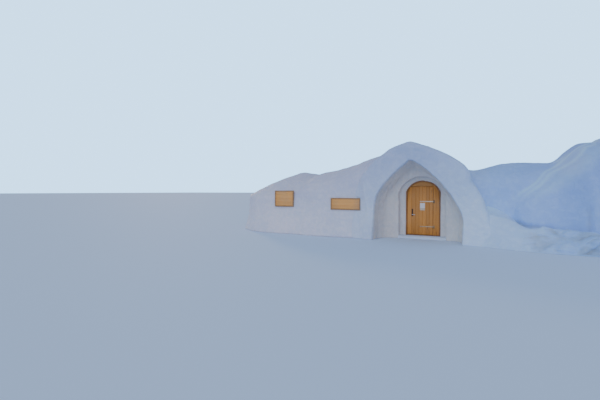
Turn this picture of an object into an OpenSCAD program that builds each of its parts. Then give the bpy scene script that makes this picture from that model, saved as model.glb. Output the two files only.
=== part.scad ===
// Snow-hotel igloo: a hand-cut arched porch in front of a lofted snow hall, with a
// left wing, a low link and a round dome. One arched timber door opens outwards.
// X runs along the front, Y into the building, Z up. The origin is on the ground
// in the middle of the doorway, in the plane of the door's outer face.

/* [Snow] */
// Thickness of the snow walls
wall_t = 850; // [700:50:950]
// Thickness of the snow roof at its crest
roof_t = 750; // [600:50:800]

/* [Porch] */
// Distance of the porch's front face from the door
porch_depth = 1300; // [1200:50:1500]
// Height of the porch's peak
porch_h = 3680; // [3500:20:3800]
// Sideways place of the porch's peak and of the arch's point under it
peak_x = -245; // [-300:5:-200]
// Reach of the left slope, from the peak to where it would meet the ground
porch_left = 2850; // [2700:50:2900]
// Reach of the right shoulder from the peak
porch_right = 2040; // [1950:10:2100]
// Height of the right shoulder
shoulder_h = 2200; // [2100:50:2300]

/* [Niche] */
// Height of the pointed arch cut through the porch
niche_h = 3000; // [2800:20:3100]
// Height where the left side starts to lean in
niche_left_spring = 1400; // [1200:50:1600]
// Height where the right side starts to lean in
niche_right_spring = 800; // [600:50:1000]
// Places of the left side, at the ground and where it starts to lean in
niche_left = [-1645, -1545];
// Places of the right side, at the ground and where it starts to lean in
niche_right = [1540, 1575];

/* [Doorway] */
// Width of the doorway in the snow
door_w = 1310; // [1200:10:1400]
// Radius of the arched head
door_r = 702; // [680:2:760]
// Height of the doorway's crown
door_crown = 2273; // [2200:1:2300]
// Height of the snow sill
sill_h = 120; // [80:10:160]
// Width of the wider recess round the doorway
recess_w = 1760; // [1600:10:1900]
// Radius of the recess's head
recess_r = 920; // [900:10:1000]
// Height of the recess's crown
recess_crown = 2420; // [2380:10:2480]
// Depth of the recess
recess_depth = 250; // [200:10:300]

/* [Door] */
// Thickness of the frame's faces
frame_face = 55; // [40:5:70]
// Depth of the frame
frame_depth = 140; // [100:10:180]
// Thickness of the door leaf
leaf_t = 50; // [40:5:60]
// Place of the leaf's hinged edge
leaf_right = 375; // [350:5:420]
// Height of the leaf's flat top
leaf_top = 2035; // [2000:5:2060]
// Gap round the leaf
leaf_gap = 6; // [5:1:8]
// Heights of the two hinge straps
strap_heights = [473, 1451];
// Length of a hinge strap
strap_len = 500; // [400:10:520]

/* [Dome] */
// Radius of the round dome on the ground
dome_r = 4700; // [4500:50:4800]
// Height of the dome
dome_h = 4200; // [4100:50:4400]
// Thickness of the dome's wall at the ground
dome_t = 990; // [900:10:1050]
// Place of the dome's centre
dome_x = 8300; // [8200:50:8500]
dome_y = 2600; // [2500:50:2700]
// Height where the dome's wall meets its roof
dome_spring = 2000; // [1800:100:2200]

/* [Boards] */
// Width and height of the name board, left bare
sign_size = [1260, 480];
// Left edge, front plane and lower edge of the name board
sign_at = [-3430, -1130, 1100];
// Width and height of the notice board, left bare
info_size = [950, 710];
// Left edge, front plane and lower edge of the notice board
info_at = [-6200, -985, 1170];
// Width of a board's frame
board_frame = 45; // [30:5:60]
// Depth of a board's frame
board_depth = 60; // [40:5:60]

/* [Hidden] */

snow = [0.86, 0.89, 0.94];
larch = [0.66, 0.44, 0.23];
dark_wood = [0.36, 0.23, 0.13];
steel = [0.62, 0.63, 0.65];

// The body's cross-sections along X. Columns: place, crest height, height where the
// walls end, crest Y, front wall Y, back wall Y, spread of the wall's foot, roundness.
sections = [
    [-6200, 2850, 1600, 1900,  -950, 4750, 200, 1.2],
    [-5600, 2750, 1650, 1900,  -950, 4750, 200, 1.6],
    [-5000, 2740, 1700, 1900,  -950, 4750, 200, 1.9],
    [-4600, 2940, 1750, 1950, -1020, 4800, 200, 2.0],
    [-3900, 3000, 1800, 2050, -1100, 4950, 200, 2.2],
    [-3300, 3160, 1900, 2200, -1100, 5050, 150, 2.2],
    [-2800, 3340, 2050, 2300, -1100, 5200, 100, 2.2],
    [-2300, 3540, 2200, 2350, -1100, 5300,  50, 2.3],
    [-2100, 3640, 2300, 2400, -1100, 5400,   0, 2.4],
    [-1850, 3720, 2420, 2400, -1100, 5430,   0, 2.4],
    [-1650, 3770, 2500, 2400,  -250, 5450,   0, 2.4],
    [-1100, 3850, 2620, 2400,  -250, 5450,   0, 2.4],
    [    0, 3760, 2640, 2400,  -250, 5450,   0, 2.4],
    [  700, 3400, 2560, 2400,  -250, 5450,   0, 2.4],
    [ 1100, 2980, 2200, 2450,  -250, 5500,   0, 2.4],
    [ 1500, 2740, 1850, 2500,  -250, 5500,   0, 2.4],
    [ 1900, 2770, 1800, 2550,  -250, 5600,   0, 2.4],
    [ 2500, 2970, 1800, 2700,  -150, 5800,   0, 2.2],
    [ 3100, 3050, 1800, 2700,  -100, 5900,   0, 2.2],
    [ 3800, 3000, 1800, 2700,  -100, 5900,   0, 2.2],
    [ 4400, 2940, 1800, 2650,  -200, 5950,   0, 2.2],
    [ 4700, 3290, 1850, 2600,  -350, 5950,   0, 2.3],
    [ 5000, 3600, 1900, 2600,  -550, 5950,   0, 2.4],
    [ 5300, 3710, 1950, 2600,  -800, 6000,   0, 2.4],
    [ 5600, 3740, 2000, 2600, -1000, 6100,   0, 2.4]
];
hall_left = -1500;
hall_right = 1500;
link_end = 5600;
wing_end_x = sections[0][0];

// Places along X where the body is cut into strips
strips = [-6200, -5800, -5300, -4900, -4500, -4000, -3500, -3000, -2600, -2250, -2000,
    -1750, hall_left, -1000, -door_w / 2, 0, door_w / 2, 1000, 1250, hall_right, 2000,
    2500, 3100, 3700, 4200, 4550, 4800, 5050, 5300, link_end];

// Values of the sections table, eased over a short window
ease = 200;
function column(k) = [for (s = sections) [s[0], s[k]]];
function at(x, k) =
    let (w = min(ease, x - wing_end_x, link_end - x), c = column(k))
    (lookup(x - w, c) + 2 * lookup(x, c) + lookup(x + w, c)) / 4;
function smooth(t) = let (s = min(1, max(0, t))) s * s * (3 - 2 * s);
function blend(a, b, t) = a * (1 - t) + b * t;

// Number of steps up a wall and over a roof
wall_rows = 3;
roof_rows = 16;
last_row = 2 * wall_rows + roof_rows;

// One point of a section with upright walls and a rounded roof. Row 0 is the front
// foot, the last row the back foot. t and rt are the thicknesses taken off inside.
function vault_point(x, row, t, rt) =
    let (zc = at(x, 1) - rt, zs = at(x, 2), yc = at(x, 3), yf = at(x, 4) + t,
        yb = at(x, 5) - t, foot = t == 0 ? at(x, 6) : 0, p = 2 / at(x, 7))
    row < wall_rows ?
        let (f = row / wall_rows) [x, yf - foot * pow(1 - f, 3), zs * f]
    : row > wall_rows + roof_rows ?
        let (f = (last_row - row) / wall_rows) [x, yb + foot * pow(1 - f, 3), zs * f]
    :
        let (a = 180 * (row - wall_rows) / roof_rows, c = pow(abs(cos(a)), p),
            y = a < 90 ? yc - (yc - yf) * c : yc + (yb - yc) * c)
        [x, y, zs + (zc - zs) * pow(sin(a), p)];

// The dome's radius at a height, and its height at a radius
dome_round = 2.5;
function dome_radius(z, r, h) = r * pow(1 - pow(z / h, dome_round), 1 / dome_round);
function dome_height(q, r, h) =
    h * pow(max(0, 1 - pow(min(1, q / r), dome_round)), 1 / dome_round);

// The same row on the dome's own slice where the link ends
function slice_point(x, row, r, h) =
    let (dx = dome_x - link_end, inside = row >= wall_rows && row <= wall_rows + roof_rows,
        f = row < wall_rows ? row / wall_rows : (last_row - row) / wall_rows,
        z = inside ? dome_spring : dome_spring * f,
        half = sqrt(max(0, pow(dome_radius(z, r, h), 2) - dx * dx)),
        a = 180 * (row - wall_rows) / roof_rows,
        c = inside ? sign(cos(a)) * pow(abs(cos(a)), 0.85) : (row < wall_rows ? 1 : -1),
        y = half * c)
    [x, dome_y - y, inside && abs(cos(a)) < 0.999 ? dome_height(sqrt(dx * dx + y * y), r, h) : z];

// Where the dome's snow has slid against the link: it stands out from the front, past
// a valley that leans to the right as it rises
slide_out = 320;
slide_run = 900;
slide_foot = 2300;
slide_lean = 0.72;
function slide(p) = slide_out * smooth((p[0] - slide_foot - slide_lean * p[2]) / slide_run);

// The body's outer and inner points, growing into the dome near its end
merge_from = 4900;
function body_point(x, row, t, rt) =
    let (w = smooth((x - merge_from) / (link_end - merge_from)),
        p = vault_point(x, row, t, rt),
        front = t == 0 ? min(1, max(0, (at(x, 3) - p[1]) / 1200)) : 0,
        v = [p[0], p[1] - front * slide(p), p[2]])
    w == 0 ? v : blend(v, slice_point(x, row, dome_r - (t > 0 ? dome_t : 0),
        dome_h - rt), w);
function body_grid(x0, x1, r0, r1, t, rt) =
    [for (x = strips) if (x >= x0 && x <= x1) [for (r = [r0:r1]) body_point(x, r, t, rt)]];

// Closed solid between an outer and an inner grid of points
module slab(outer, inner) {
    rows = len(outer);
    cols = len(outer[0]);
    n = rows * cols;
    points = concat([for (r = outer) each r], [for (r = inner) each r]);
    function id(i, j, deep) = i * cols + j + deep * n;
    function skin(i, j, k) = [[id(i, j, k), id(i + 1, j + 1, k), id(i + 1, j, k)],
        [id(i, j, k), id(i, j + 1, k), id(i + 1, j + 1, k)]];
    function turned(faces) = [for (f = faces) [f[2], f[1], f[0]]];
    function edge_col(i, j) = [[id(i, j, 0), id(i + 1, j, 1), id(i, j, 1)],
        [id(i, j, 0), id(i + 1, j, 0), id(i + 1, j, 1)]];
    function edge_row(i, j) = [[id(i, j, 0), id(i, j + 1, 1), id(i, j + 1, 0)],
        [id(i, j, 0), id(i, j, 1), id(i, j + 1, 1)]];
    faces = concat(
        [for (i = [0:rows - 2], j = [0:cols - 2]) each skin(i, j, 0)],
        [for (i = [0:rows - 2], j = [0:cols - 2]) each turned(skin(i, j, 1))],
        [for (i = [0:rows - 2]) each edge_col(i, 0)],
        [for (i = [0:rows - 2]) each turned(edge_col(i, cols - 1))],
        [for (j = [0:cols - 2]) each edge_row(0, j)],
        [for (j = [0:cols - 2]) each turned(edge_row(rows - 1, j))]);
    polyhedron(points, faces, convexity = 6);
}

// Solid enclosed by one grid whose rows are planar, each end closed by a fan
module filled(grid) {
    rows = len(grid);
    cols = len(grid[0]);
    n = rows * cols;
    function id(i, j) = i * cols + j % cols;
    function middle(row) = [for (k = [0:2]) [for (p = row) 1 / cols] * [for (p = row) p[k]]];
    faces = concat(
        [for (i = [0:rows - 2], j = [0:cols - 1]) each
            [[id(i, j), id(i + 1, j + 1), id(i + 1, j)],
            [id(i, j), id(i, j + 1), id(i + 1, j + 1)]]],
        [for (j = [0:cols - 1]) [id(0, j + 1), id(0, j), n]],
        [for (j = [0:cols - 1]) [id(rows - 1, j), id(rows - 1, j + 1), n + 1]]);
    polyhedron(concat([for (r = grid) each r], [middle(grid[0]), middle(grid[rows - 1])]),
        faces, convexity = 6);
}

// A strip of the body's shell, between two places along X and two rows
module shell(x0, x1, r0, r1) {
    color(snow) slab(body_grid(x0, x1, r0, r1, 0, 0), body_grid(x0, x1, r0, r1, wall_t, roof_t));
}

// The whole body as one filled mass, reaching below the ground
below = 200;
module body_mass(x0, x1) {
    filled([for (x = strips) if (x >= x0 && x <= x1)
        let (front = body_point(x, 0, 0, 0), back = body_point(x, last_row, 0, 0))
        concat([[x, front[1], -below]], [for (r = [0:last_row]) body_point(x, r, 0, 0)],
            [[x, back[1], -below]])]);
}

// Opening with straight sides and a round head, cut from plane y0 to plane y1
module arch_cut(w, r, crown, y0, y1, z0) {
    spring = crown - r + sqrt(r * r - w * w / 4);
    translate([0, y1, 0]) rotate([90, 0, 0]) linear_extrude(y1 - y0) {
        translate([-w / 2, z0]) square([w, spring - z0]);
        intersection() {
            translate([0, crown - r]) circle(r, $fn = 96);
            translate([-w / 2, spring - 1]) square([w, r]);
        }
    }
}

// The porch: a hand-cut pointed arch inside a rounded gable
waist = 850;
waist_from = 1350;
waist_to = 2250;
flank = 650;
flank_foot = 500;
flank_foot_h = 900;
function gable_x(z, side) =
    side < 0 ?
        peak_x - porch_left * pow(1 - pow(min(1, z / porch_h), 1.7), 1 / 1.7)
            + waist * (1 - smooth((z - waist_from) / (waist_to - waist_from)))
    : z > shoulder_h ?
        let (c = min(1, (z - shoulder_h) / (porch_h - shoulder_h)))
        peak_x + porch_right * pow(1 - pow(c, 2.15), 0.97)
    :
        peak_x + porch_right + flank * (1 - pow(z / shoulder_h, 2.5))
            + flank_foot * pow(max(0, 1 - z / flank_foot_h), 2);
function niche_x(z, side) =
    side < 0 ?
        let (c = (z - niche_left_spring) / (niche_h - niche_left_spring))
        z < niche_left_spring ? blend(niche_left[0], niche_left[1], z / niche_left_spring)
            : peak_x + (niche_left[1] - peak_x) * (1 - pow(c, 1.6))
    :
        let (c = (z - niche_right_spring) / (niche_h - niche_right_spring))
        z < niche_right_spring ? blend(niche_right[0], niche_right[1], z / niche_right_spring)
            : peak_x + (niche_right[1] - peak_x) * pow(1 - pow(c, 1.47), 0.8);

pier_h = 1500;
pier_steps = 4;
crown_steps = 12;
// Columns from the front back: place, outer edge drawn in, niche edge drawn in
porch_columns = [[-porch_depth, 220, -50], [-porch_depth + 25, 130, -20],
    [-porch_depth + 70, 60, 0], [-porch_depth + 140, 15, 10], [-porch_depth + 240, 0, 20],
    [-300, 20, 110], [300, 100, 140], [1700, 650, 400]];

// Points of one row of the porch: the outer and the niche side of each column
function porch_row(z_out, z_in, side, outer) =
    let (a = [gable_x(z_out, side), z_out], b = [niche_x(z_in, side), z_in],
        d = (b - a) / norm(b - a))
    [for (c = porch_columns) let (p = outer ? a + d * c[1] : b + d * c[2]) [p[0], c[0], p[1]]];
function pier_grid(side, outer) =
    [for (i = [0:pier_steps]) let (z = pier_h * i / pier_steps) porch_row(z, z, side, outer)];
function crown_grid(side, outer) =
    [for (i = [0:crown_steps]) let (t = sin(90 * i / crown_steps))
        porch_row(blend(pier_h, porch_h, t), blend(pier_h, niche_h, t), side, outer)];
module porch_part(side, crown) {
    outer = crown ? crown_grid(side, true) : pier_grid(side, true);
    inner = crown ? crown_grid(side, false) : pier_grid(side, false);
    color(snow) difference() {
        if (side < 0) slab(outer, inner);
        else slab(inner, outer);
        body_mass(-4000, 3500);
    }
}

module porch_left_pier() { porch_part(-1, false); }
module porch_right_pier() { porch_part(1, false); }
module porch_left_crown() { porch_part(-1, true); }
module porch_right_crown() { porch_part(1, true); }

// The hall's front wall, from its ground line up to the roof, between two places
module hall_front_outline(x0, x1) {
    polygon(concat([[x1, 0], [x0, 0]],
        [for (x = strips) if (x >= x0 && x <= x1) [x, at(x, 2)]]));
}
// Flat outline of an opening with straight sides and a round head
module arch_outline(w, r, crown) {
    spring = crown - r + sqrt(r * r - w * w / 4);
    union() {
        translate([-w / 2, -below]) square([w, spring + below]);
        intersection() {
            translate([0, crown - r]) circle(r, $fn = 96);
            translate([-w / 2, spring - 1]) square([w, r]);
        }
    }
}
// A piece of that wall: the recess is cut in its outer layer, the doorway behind
module hall_front(x0, x1) {
    color(snow) {
        rotate([90, 0, 0]) linear_extrude(recess_depth) difference() {
            hall_front_outline(x0, x1);
            arch_outline(recess_w, recess_r, recess_crown);
        }
        translate([0, wall_t - recess_depth, 0]) rotate([90, 0, 0])
            linear_extrude(wall_t - recess_depth) difference() {
                hall_front_outline(x0, x1);
                arch_outline(door_w, door_r, door_crown);
            }
    }
}
module hall_front_left() { hall_front(hall_left, -door_w / 2); }
module hall_front_right() { hall_front(door_w / 2, hall_right); }
module hall_front_head() { hall_front(-door_w / 2, door_w / 2); }
module hall_roof() { shell(hall_left, hall_right, wall_rows, wall_rows + roof_rows); }
module hall_back_wall() { shell(hall_left, hall_right, wall_rows + roof_rows, last_row); }

// Low block of pressed snow that carries the door frame
module door_sill() {
    inner_y = wall_t - recess_depth;
    color(snow) linear_extrude(sill_h)
        polygon([[-recess_w / 2, -recess_depth], [recess_w / 2, -recess_depth],
            [recess_w / 2, 0], [door_w / 2, 0], [door_w / 2, inner_y],
            [-door_w / 2, inner_y], [-door_w / 2, 0], [-recess_w / 2, 0]]);
}

// Flat pocket in the snow behind a board
module board_pocket(at_point, size) {
    translate([at_point[0], at_point[1] - 300, at_point[2]])
        cube([size[0], 300 + board_depth, size[1]]);
}
module wing_front_wall() {
    color(snow) difference() {
        shell(wing_end_x, hall_left, 0, wall_rows);
        board_pocket(sign_at, sign_size);
        board_pocket(info_at, info_size);
    }
}
module wing_roof() {
    color(snow) difference() {
        shell(wing_end_x, hall_left, wall_rows, wall_rows + roof_rows);
        board_pocket(info_at, info_size);
    }
}
module wing_back_wall() { shell(wing_end_x, hall_left, wall_rows + roof_rows, last_row); }

// A quarter of the wing's rounded end: wall and roof turned about the end's centre
module wing_gore(from) {
    centre_y = at(wing_end_x, 3);
    outer = [for (r = [0:wall_rows + roof_rows / 2])
        let (p = body_point(wing_end_x, r, 0, 0)) [centre_y - p[1], p[2]]];
    inner = [for (r = [wall_rows + roof_rows / 2:-1:0])
        let (p = body_point(wing_end_x, r, wall_t, roof_t)) [centre_y - p[1], p[2]]];
    color(snow) translate([wing_end_x, centre_y, 0]) rotate([0, 0, from])
        rotate_extrude(angle = 90, $fn = 72) polygon(concat(outer, inner));
}
module wing_end_back() { wing_gore(90); }
module wing_end_front() { wing_gore(180); }

module link_front_wall() { shell(hall_right, link_end, 0, wall_rows); }
module link_roof() { shell(hall_right, link_end, wall_rows, wall_rows + roof_rows); }
module link_back_wall() { shell(hall_right, link_end, wall_rows + roof_rows, last_row); }

// Snow bank piled against the link and the dome's foot. Columns: place, height,
// crest Y, foot Y.
bank = [[2200, 1100, -900, -1340], [2700, 1000, -950, -1620], [3200, 880, -1000, -1830],
    [3700, 780, -1030, -1930], [4300, 700, -1050, -1950],
    [5000, 640, -1150, -1950], [5600, 560, -1300, -2000], [6200, 380, -1600, -2050],
    [6900, 80, -1850, -2050]];
bank_places = [2200, 2700, 3200, 3800, 4300, 4700, 5000, 5300, 5600, 5900, 6200, 6550, 6900];
bank_steps = 6;
module link_bank() {
    function value(x, k) = lookup(x, [for (b = bank) [b[0], b[k]]]);
    grid = [for (x = bank_places)
        let (h = value(x, 1), crest = value(x, 2), foot = value(x, 3))
        concat([[x, 600, 0], [x, foot, 0]],
            [for (i = [1:bank_steps]) let (t = i / bank_steps)
                [x, blend(foot, crest, t), h * pow(sin(90 * t), 1.3)]],
            [[x, blend(crest, -200, 0.5), h + 40], [x, 600, h]])];
    color(snow) difference() {
        filled(grid);
        body_mass(hall_right, link_end);
        porch_flank();
        dome_piece(-180) dome_mass_profile();
    }
}
// The porch's right flank as a filled mass, to cut the bank back to it
module porch_flank() {
    outer = pier_grid(1, true);
    filled([for (j = [0:len(porch_columns) - 1])
        concat([for (i = [0:pier_steps]) outer[i][j]],
            [[0, porch_columns[j][0], pier_h], [0, porch_columns[j][0], -below],
            [outer[0][j][0], porch_columns[j][0], -below]])]);
}

// Half outline of the dome's wall or roof, to be turned about its centre
dome_steps = 4;
module dome_wall_profile() {
    ri = dome_r - dome_t;
    hi = dome_h - roof_t;
    polygon(concat(
        [for (i = [0:dome_steps]) let (z = dome_spring * i / dome_steps)
            [dome_radius(z, dome_r, dome_h), z]],
        [for (i = [dome_steps:-1:0]) let (z = dome_spring * i / dome_steps)
            [dome_radius(z, ri, hi), z]]));
}
module dome_roof_profile() {
    ri = dome_r - dome_t;
    hi = dome_h - roof_t;
    steps = 7;
    top = dome_radius(dome_spring, dome_r, dome_h);
    under = dome_radius(dome_spring, ri, hi);
    polygon(concat(
        [for (i = [0:steps]) let (q = top * cos(90 * i / steps))
            [max(0, q), i == 0 ? dome_spring : dome_height(q, dome_r, dome_h)]],
        [for (i = [steps:-1:0]) let (q = under * cos(90 * i / steps))
            [max(0, q), i == 0 ? dome_spring : dome_height(q, ri, hi)]]));
}
// The lower dome as a filled mass, to cut the bank back to it
module dome_mass_profile() {
    polygon(concat([[0, dome_spring], [0, -below], [dome_r, -below]],
        [for (i = [0:dome_steps]) let (z = dome_spring * i / dome_steps)
            [dome_radius(z, dome_r, dome_h), z]]));
}
// A quarter of the dome from one bearing on, cut off where the link begins
module dome_piece(from) {
    color(snow) difference() {
        translate([dome_x, dome_y, 0]) rotate([0, 0, from])
            rotate_extrude(angle = 90, $fn = 72) children();
        translate([link_end - 4000, dome_y - 6000, -2 * below]) cube([4000, 12000, 6000]);
    }
}
module dome_wall_front_left() { dome_piece(-180) dome_wall_profile(); }
module dome_wall_front_right() { dome_piece(-90) dome_wall_profile(); }
module dome_wall_back_right() { dome_piece(0) dome_wall_profile(); }
module dome_wall_back_left() { dome_piece(90) dome_wall_profile(); }
module dome_roof_front_left() { dome_piece(-180) dome_roof_profile(); }
module dome_roof_front_right() { dome_piece(-90) dome_roof_profile(); }
module dome_roof_back_right() { dome_piece(0) dome_roof_profile(); }
module dome_roof_back_left() { dome_piece(90) dome_roof_profile(); }

// The timber frame stands in the doorway, a little proud of the snow
frame_front = -20;
open_w = door_w - 2 * frame_face;
open_r = door_r - frame_face;
jamb_h = 1800;
stop_w = 22;
stop_y = leaf_t + leaf_gap;
module jamb(side) {
    x0 = side < 0 ? -door_w / 2 : open_w / 2;
    sx = side < 0 ? -open_w / 2 : open_w / 2 - stop_w;
    color(dark_wood) union() {
        translate([x0, frame_front, sill_h]) cube([frame_face, frame_depth, jamb_h - sill_h]);
        if (side < 0)
            translate([sx, stop_y, sill_h + 30])
                cube([stop_w, frame_front + frame_depth - stop_y, jamb_h - sill_h - 30]);
    }
}
module frame_left_jamb() { jamb(-1); }
module frame_right_jamb() { jamb(1); }

// Everything above the jambs, between two planes
module above_jambs(y0, y1) {
    translate([-door_w, y0, jamb_h]) cube([2 * door_w, y1 - y0, door_r]);
}
module frame_arch() {
    back = frame_front + frame_depth;
    color(dark_wood) difference() {
        intersection() {
            arch_cut(door_w, door_r, door_crown, frame_front, back, sill_h);
            above_jambs(frame_front, back);
        }
        arch_cut(open_w, open_r, door_crown - frame_face, frame_front - 10, back + 10, sill_h);
    }
}
module threshold() {
    color(dark_wood) translate([-open_w / 2, frame_front, sill_h])
        cube([open_w, frame_depth, 30]);
}

// Fixed boards that fill the arch over the leaf and beside its hinges
seam_x = leaf_right + 10;
seam_z = leaf_top + 10;
module filling(x0, x1, z0, z1) {
    color(larch) intersection() {
        arch_cut(open_w, open_r, door_crown - frame_face, 0, leaf_t, sill_h + 30);
        translate([x0, -10, z0]) cube([x1 - x0, leaf_t + 20, z1 - z0]);
    }
}
module head_panel() {
    filling(-open_w, seam_x, seam_z, door_crown);
    color(larch) intersection() {
        arch_cut(open_w, open_r, door_crown - frame_face, leaf_t, stop_y + 30, sill_h + 30);
        translate([-open_w, leaf_t, leaf_top - stop_w]) cube([open_w + seam_x, 100, door_r]);
    }
}
module side_panel() {
    filling(seam_x, open_w, sill_h + 30, door_crown);
}

// The door leaf: boards cut to the arch, ledged behind
leaf_bottom = sill_h + 30 + 8;
module leaf_outline(y0, y1, inset) {
    intersection() {
        arch_cut(open_w - 2 * (leaf_gap + inset), open_r - leaf_gap - inset,
            door_crown - frame_face - leaf_gap - inset, y0, y1, leaf_bottom + inset);
        translate([-open_w, y0 - 10, leaf_bottom + inset])
            cube([open_w + leaf_right - inset, y1 - y0 + 20, leaf_top - leaf_bottom - 2 * inset]);
    }
}
board_t = 30;
ledge_h = 140;
ledge_heights = [300, 1000, 1650];
module door_leaf() {
    color(larch) leaf_outline(0, board_t, 0);
}
module leaf_ledges() {
    color(larch) intersection() {
        leaf_outline(board_t, leaf_t, 40);
        union() {
            for (z = ledge_heights)
                translate([-open_w, 0, z]) cube([2 * open_w, 2 * leaf_t, ledge_h]);
        }
    }
}

// Strap hinges: a long strap with an eye on the leaf, a pin on a plate beside it
hinge_x = leaf_right + 5;
hinge_y = -15;
eye_r = 11;
pin_r = 6;
strap_t = 5;
strap_h = 40;
module hinge_straps() {
    color(steel) for (z = strap_heights) difference() {
        union() {
            translate([hinge_x - strap_len, -strap_t, z - strap_h / 2])
                cube([strap_len - eye_r, strap_t, strap_h]);
            translate([hinge_x - eye_r - 12, -strap_t, z - strap_h / 2])
                cube([12, strap_t, strap_h]);
            translate([hinge_x - eye_r, hinge_y, z - strap_h / 2])
                cube([eye_r, -hinge_y, strap_h]);
            translate([hinge_x, hinge_y, z - strap_h / 2]) cylinder(r = eye_r, h = strap_h, $fn = 48);
        }
        translate([hinge_x, hinge_y, z - strap_h]) cylinder(r = pin_r + 0.3, h = 2 * strap_h, $fn = 48);
    }
}
module hinge_pintles() {
    plate = 60;
    color(steel) for (z = strap_heights) union() {
        translate([seam_x, -strap_t, z - strap_h / 2 - 36]) cube([plate, strap_t, strap_h + 72]);
        translate([hinge_x, hinge_y, z - strap_h / 2 - 26]) cylinder(r = eye_r, h = 24, $fn = 48);
        translate([hinge_x, hinge_y - eye_r, z - strap_h / 2 - 26])
            cube([seam_x - hinge_x + 20, eye_r - hinge_y, 24]);
        translate([hinge_x, hinge_y, z - strap_h / 2 - 10])
            cylinder(r = pin_r, h = strap_h + 14, $fn = 48);
    }
}

// Lock plate and lever on the leaf's free edge
lock_x = -400;
lock_z = 930;
lock_size = [60, 6, 290];
lever_r = 10;
lever_len = 120;
lever_out = 50;
module lock_plate() {
    color(dark_wood) translate([lock_x - lock_size[0] / 2, -lock_size[1], lock_z - 60])
        cube(lock_size);
}
module door_handle() {
    color(steel) union() {
        translate([lock_x, -lock_size[1], lock_z]) rotate([90, 0, 0])
            cylinder(r = lever_r + 1, h = lever_out - lock_size[1], $fn = 48);
        translate([lock_x, -lever_out, lock_z]) rotate([0, 90, 0])
            cylinder(r = lever_r, h = lever_len, $fn = 48);
        translate([lock_x, -lever_out, lock_z]) sphere(r = lever_r + 1, $fn = 48);
    }
}
notice_at = [-110, 1105];
notice_size = [185, 4, 285];
module notice_sheet() {
    color("white") translate([notice_at[0], -notice_size[1], notice_at[1]]) cube(notice_size);
}

// A timber board with a frame round it, set in the wall's pocket
module board_panel(at_point, size) {
    color(larch) translate([at_point[0] + board_frame, at_point[1] + 20, at_point[2] + board_frame])
        cube([size[0] - 2 * board_frame, board_depth - 20, size[1] - 2 * board_frame]);
}
module board_border(at_point, size) {
    color(dark_wood) translate(at_point) difference() {
        cube([size[0], board_depth, size[1]]);
        translate([board_frame, -1, board_frame])
            cube([size[0] - 2 * board_frame, board_depth + 2, size[1] - 2 * board_frame]);
    }
}
module sign_panel() { board_panel(sign_at, sign_size); }
module sign_frame() { board_border(sign_at, sign_size); }
module info_panel() { board_panel(info_at, info_size); }
module info_frame() { board_border(info_at, info_size); }

porch_left_pier();
porch_right_pier();
porch_left_crown();
porch_right_crown();
hall_front_left();
hall_front_right();
hall_front_head();
hall_roof();
hall_back_wall();
door_sill();
wing_front_wall();
wing_roof();
wing_back_wall();
wing_end_front();
wing_end_back();
link_front_wall();
link_bank();
link_roof();
link_back_wall();
dome_wall_front_left();
dome_wall_front_right();
dome_wall_back_right();
dome_wall_back_left();
dome_roof_front_left();
dome_roof_front_right();
dome_roof_back_right();
dome_roof_back_left();
frame_left_jamb();
frame_right_jamb();
frame_arch();
threshold();
head_panel();
side_panel();
door_leaf();
leaf_ledges();
hinge_straps();
hinge_pintles();
lock_plate();
door_handle();
notice_sheet();
sign_panel();
sign_frame();
info_panel();
info_frame();
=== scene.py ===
import bmesh
import bpy
import numpy as np
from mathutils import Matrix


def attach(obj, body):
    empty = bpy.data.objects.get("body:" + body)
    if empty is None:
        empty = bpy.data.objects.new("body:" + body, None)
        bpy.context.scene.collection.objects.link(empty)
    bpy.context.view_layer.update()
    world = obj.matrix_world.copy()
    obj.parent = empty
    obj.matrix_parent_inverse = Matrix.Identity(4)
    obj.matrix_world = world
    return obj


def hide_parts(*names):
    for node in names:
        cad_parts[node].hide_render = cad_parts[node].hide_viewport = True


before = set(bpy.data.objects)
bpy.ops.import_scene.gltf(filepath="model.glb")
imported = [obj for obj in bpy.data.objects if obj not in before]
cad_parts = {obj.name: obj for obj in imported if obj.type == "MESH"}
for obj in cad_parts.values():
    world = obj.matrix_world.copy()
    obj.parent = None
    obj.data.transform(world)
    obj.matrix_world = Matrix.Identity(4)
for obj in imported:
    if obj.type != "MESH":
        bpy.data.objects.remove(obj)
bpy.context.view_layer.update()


# Snow body: wing, hall, link and dome in one skin, with the rooms inside it. The real one is
# machine-made snow, blown over an inflated form, packed and left to set. Made as sections carried
# along the front, a half turn at the wing's end and a turned dome, then roughened.

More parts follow.
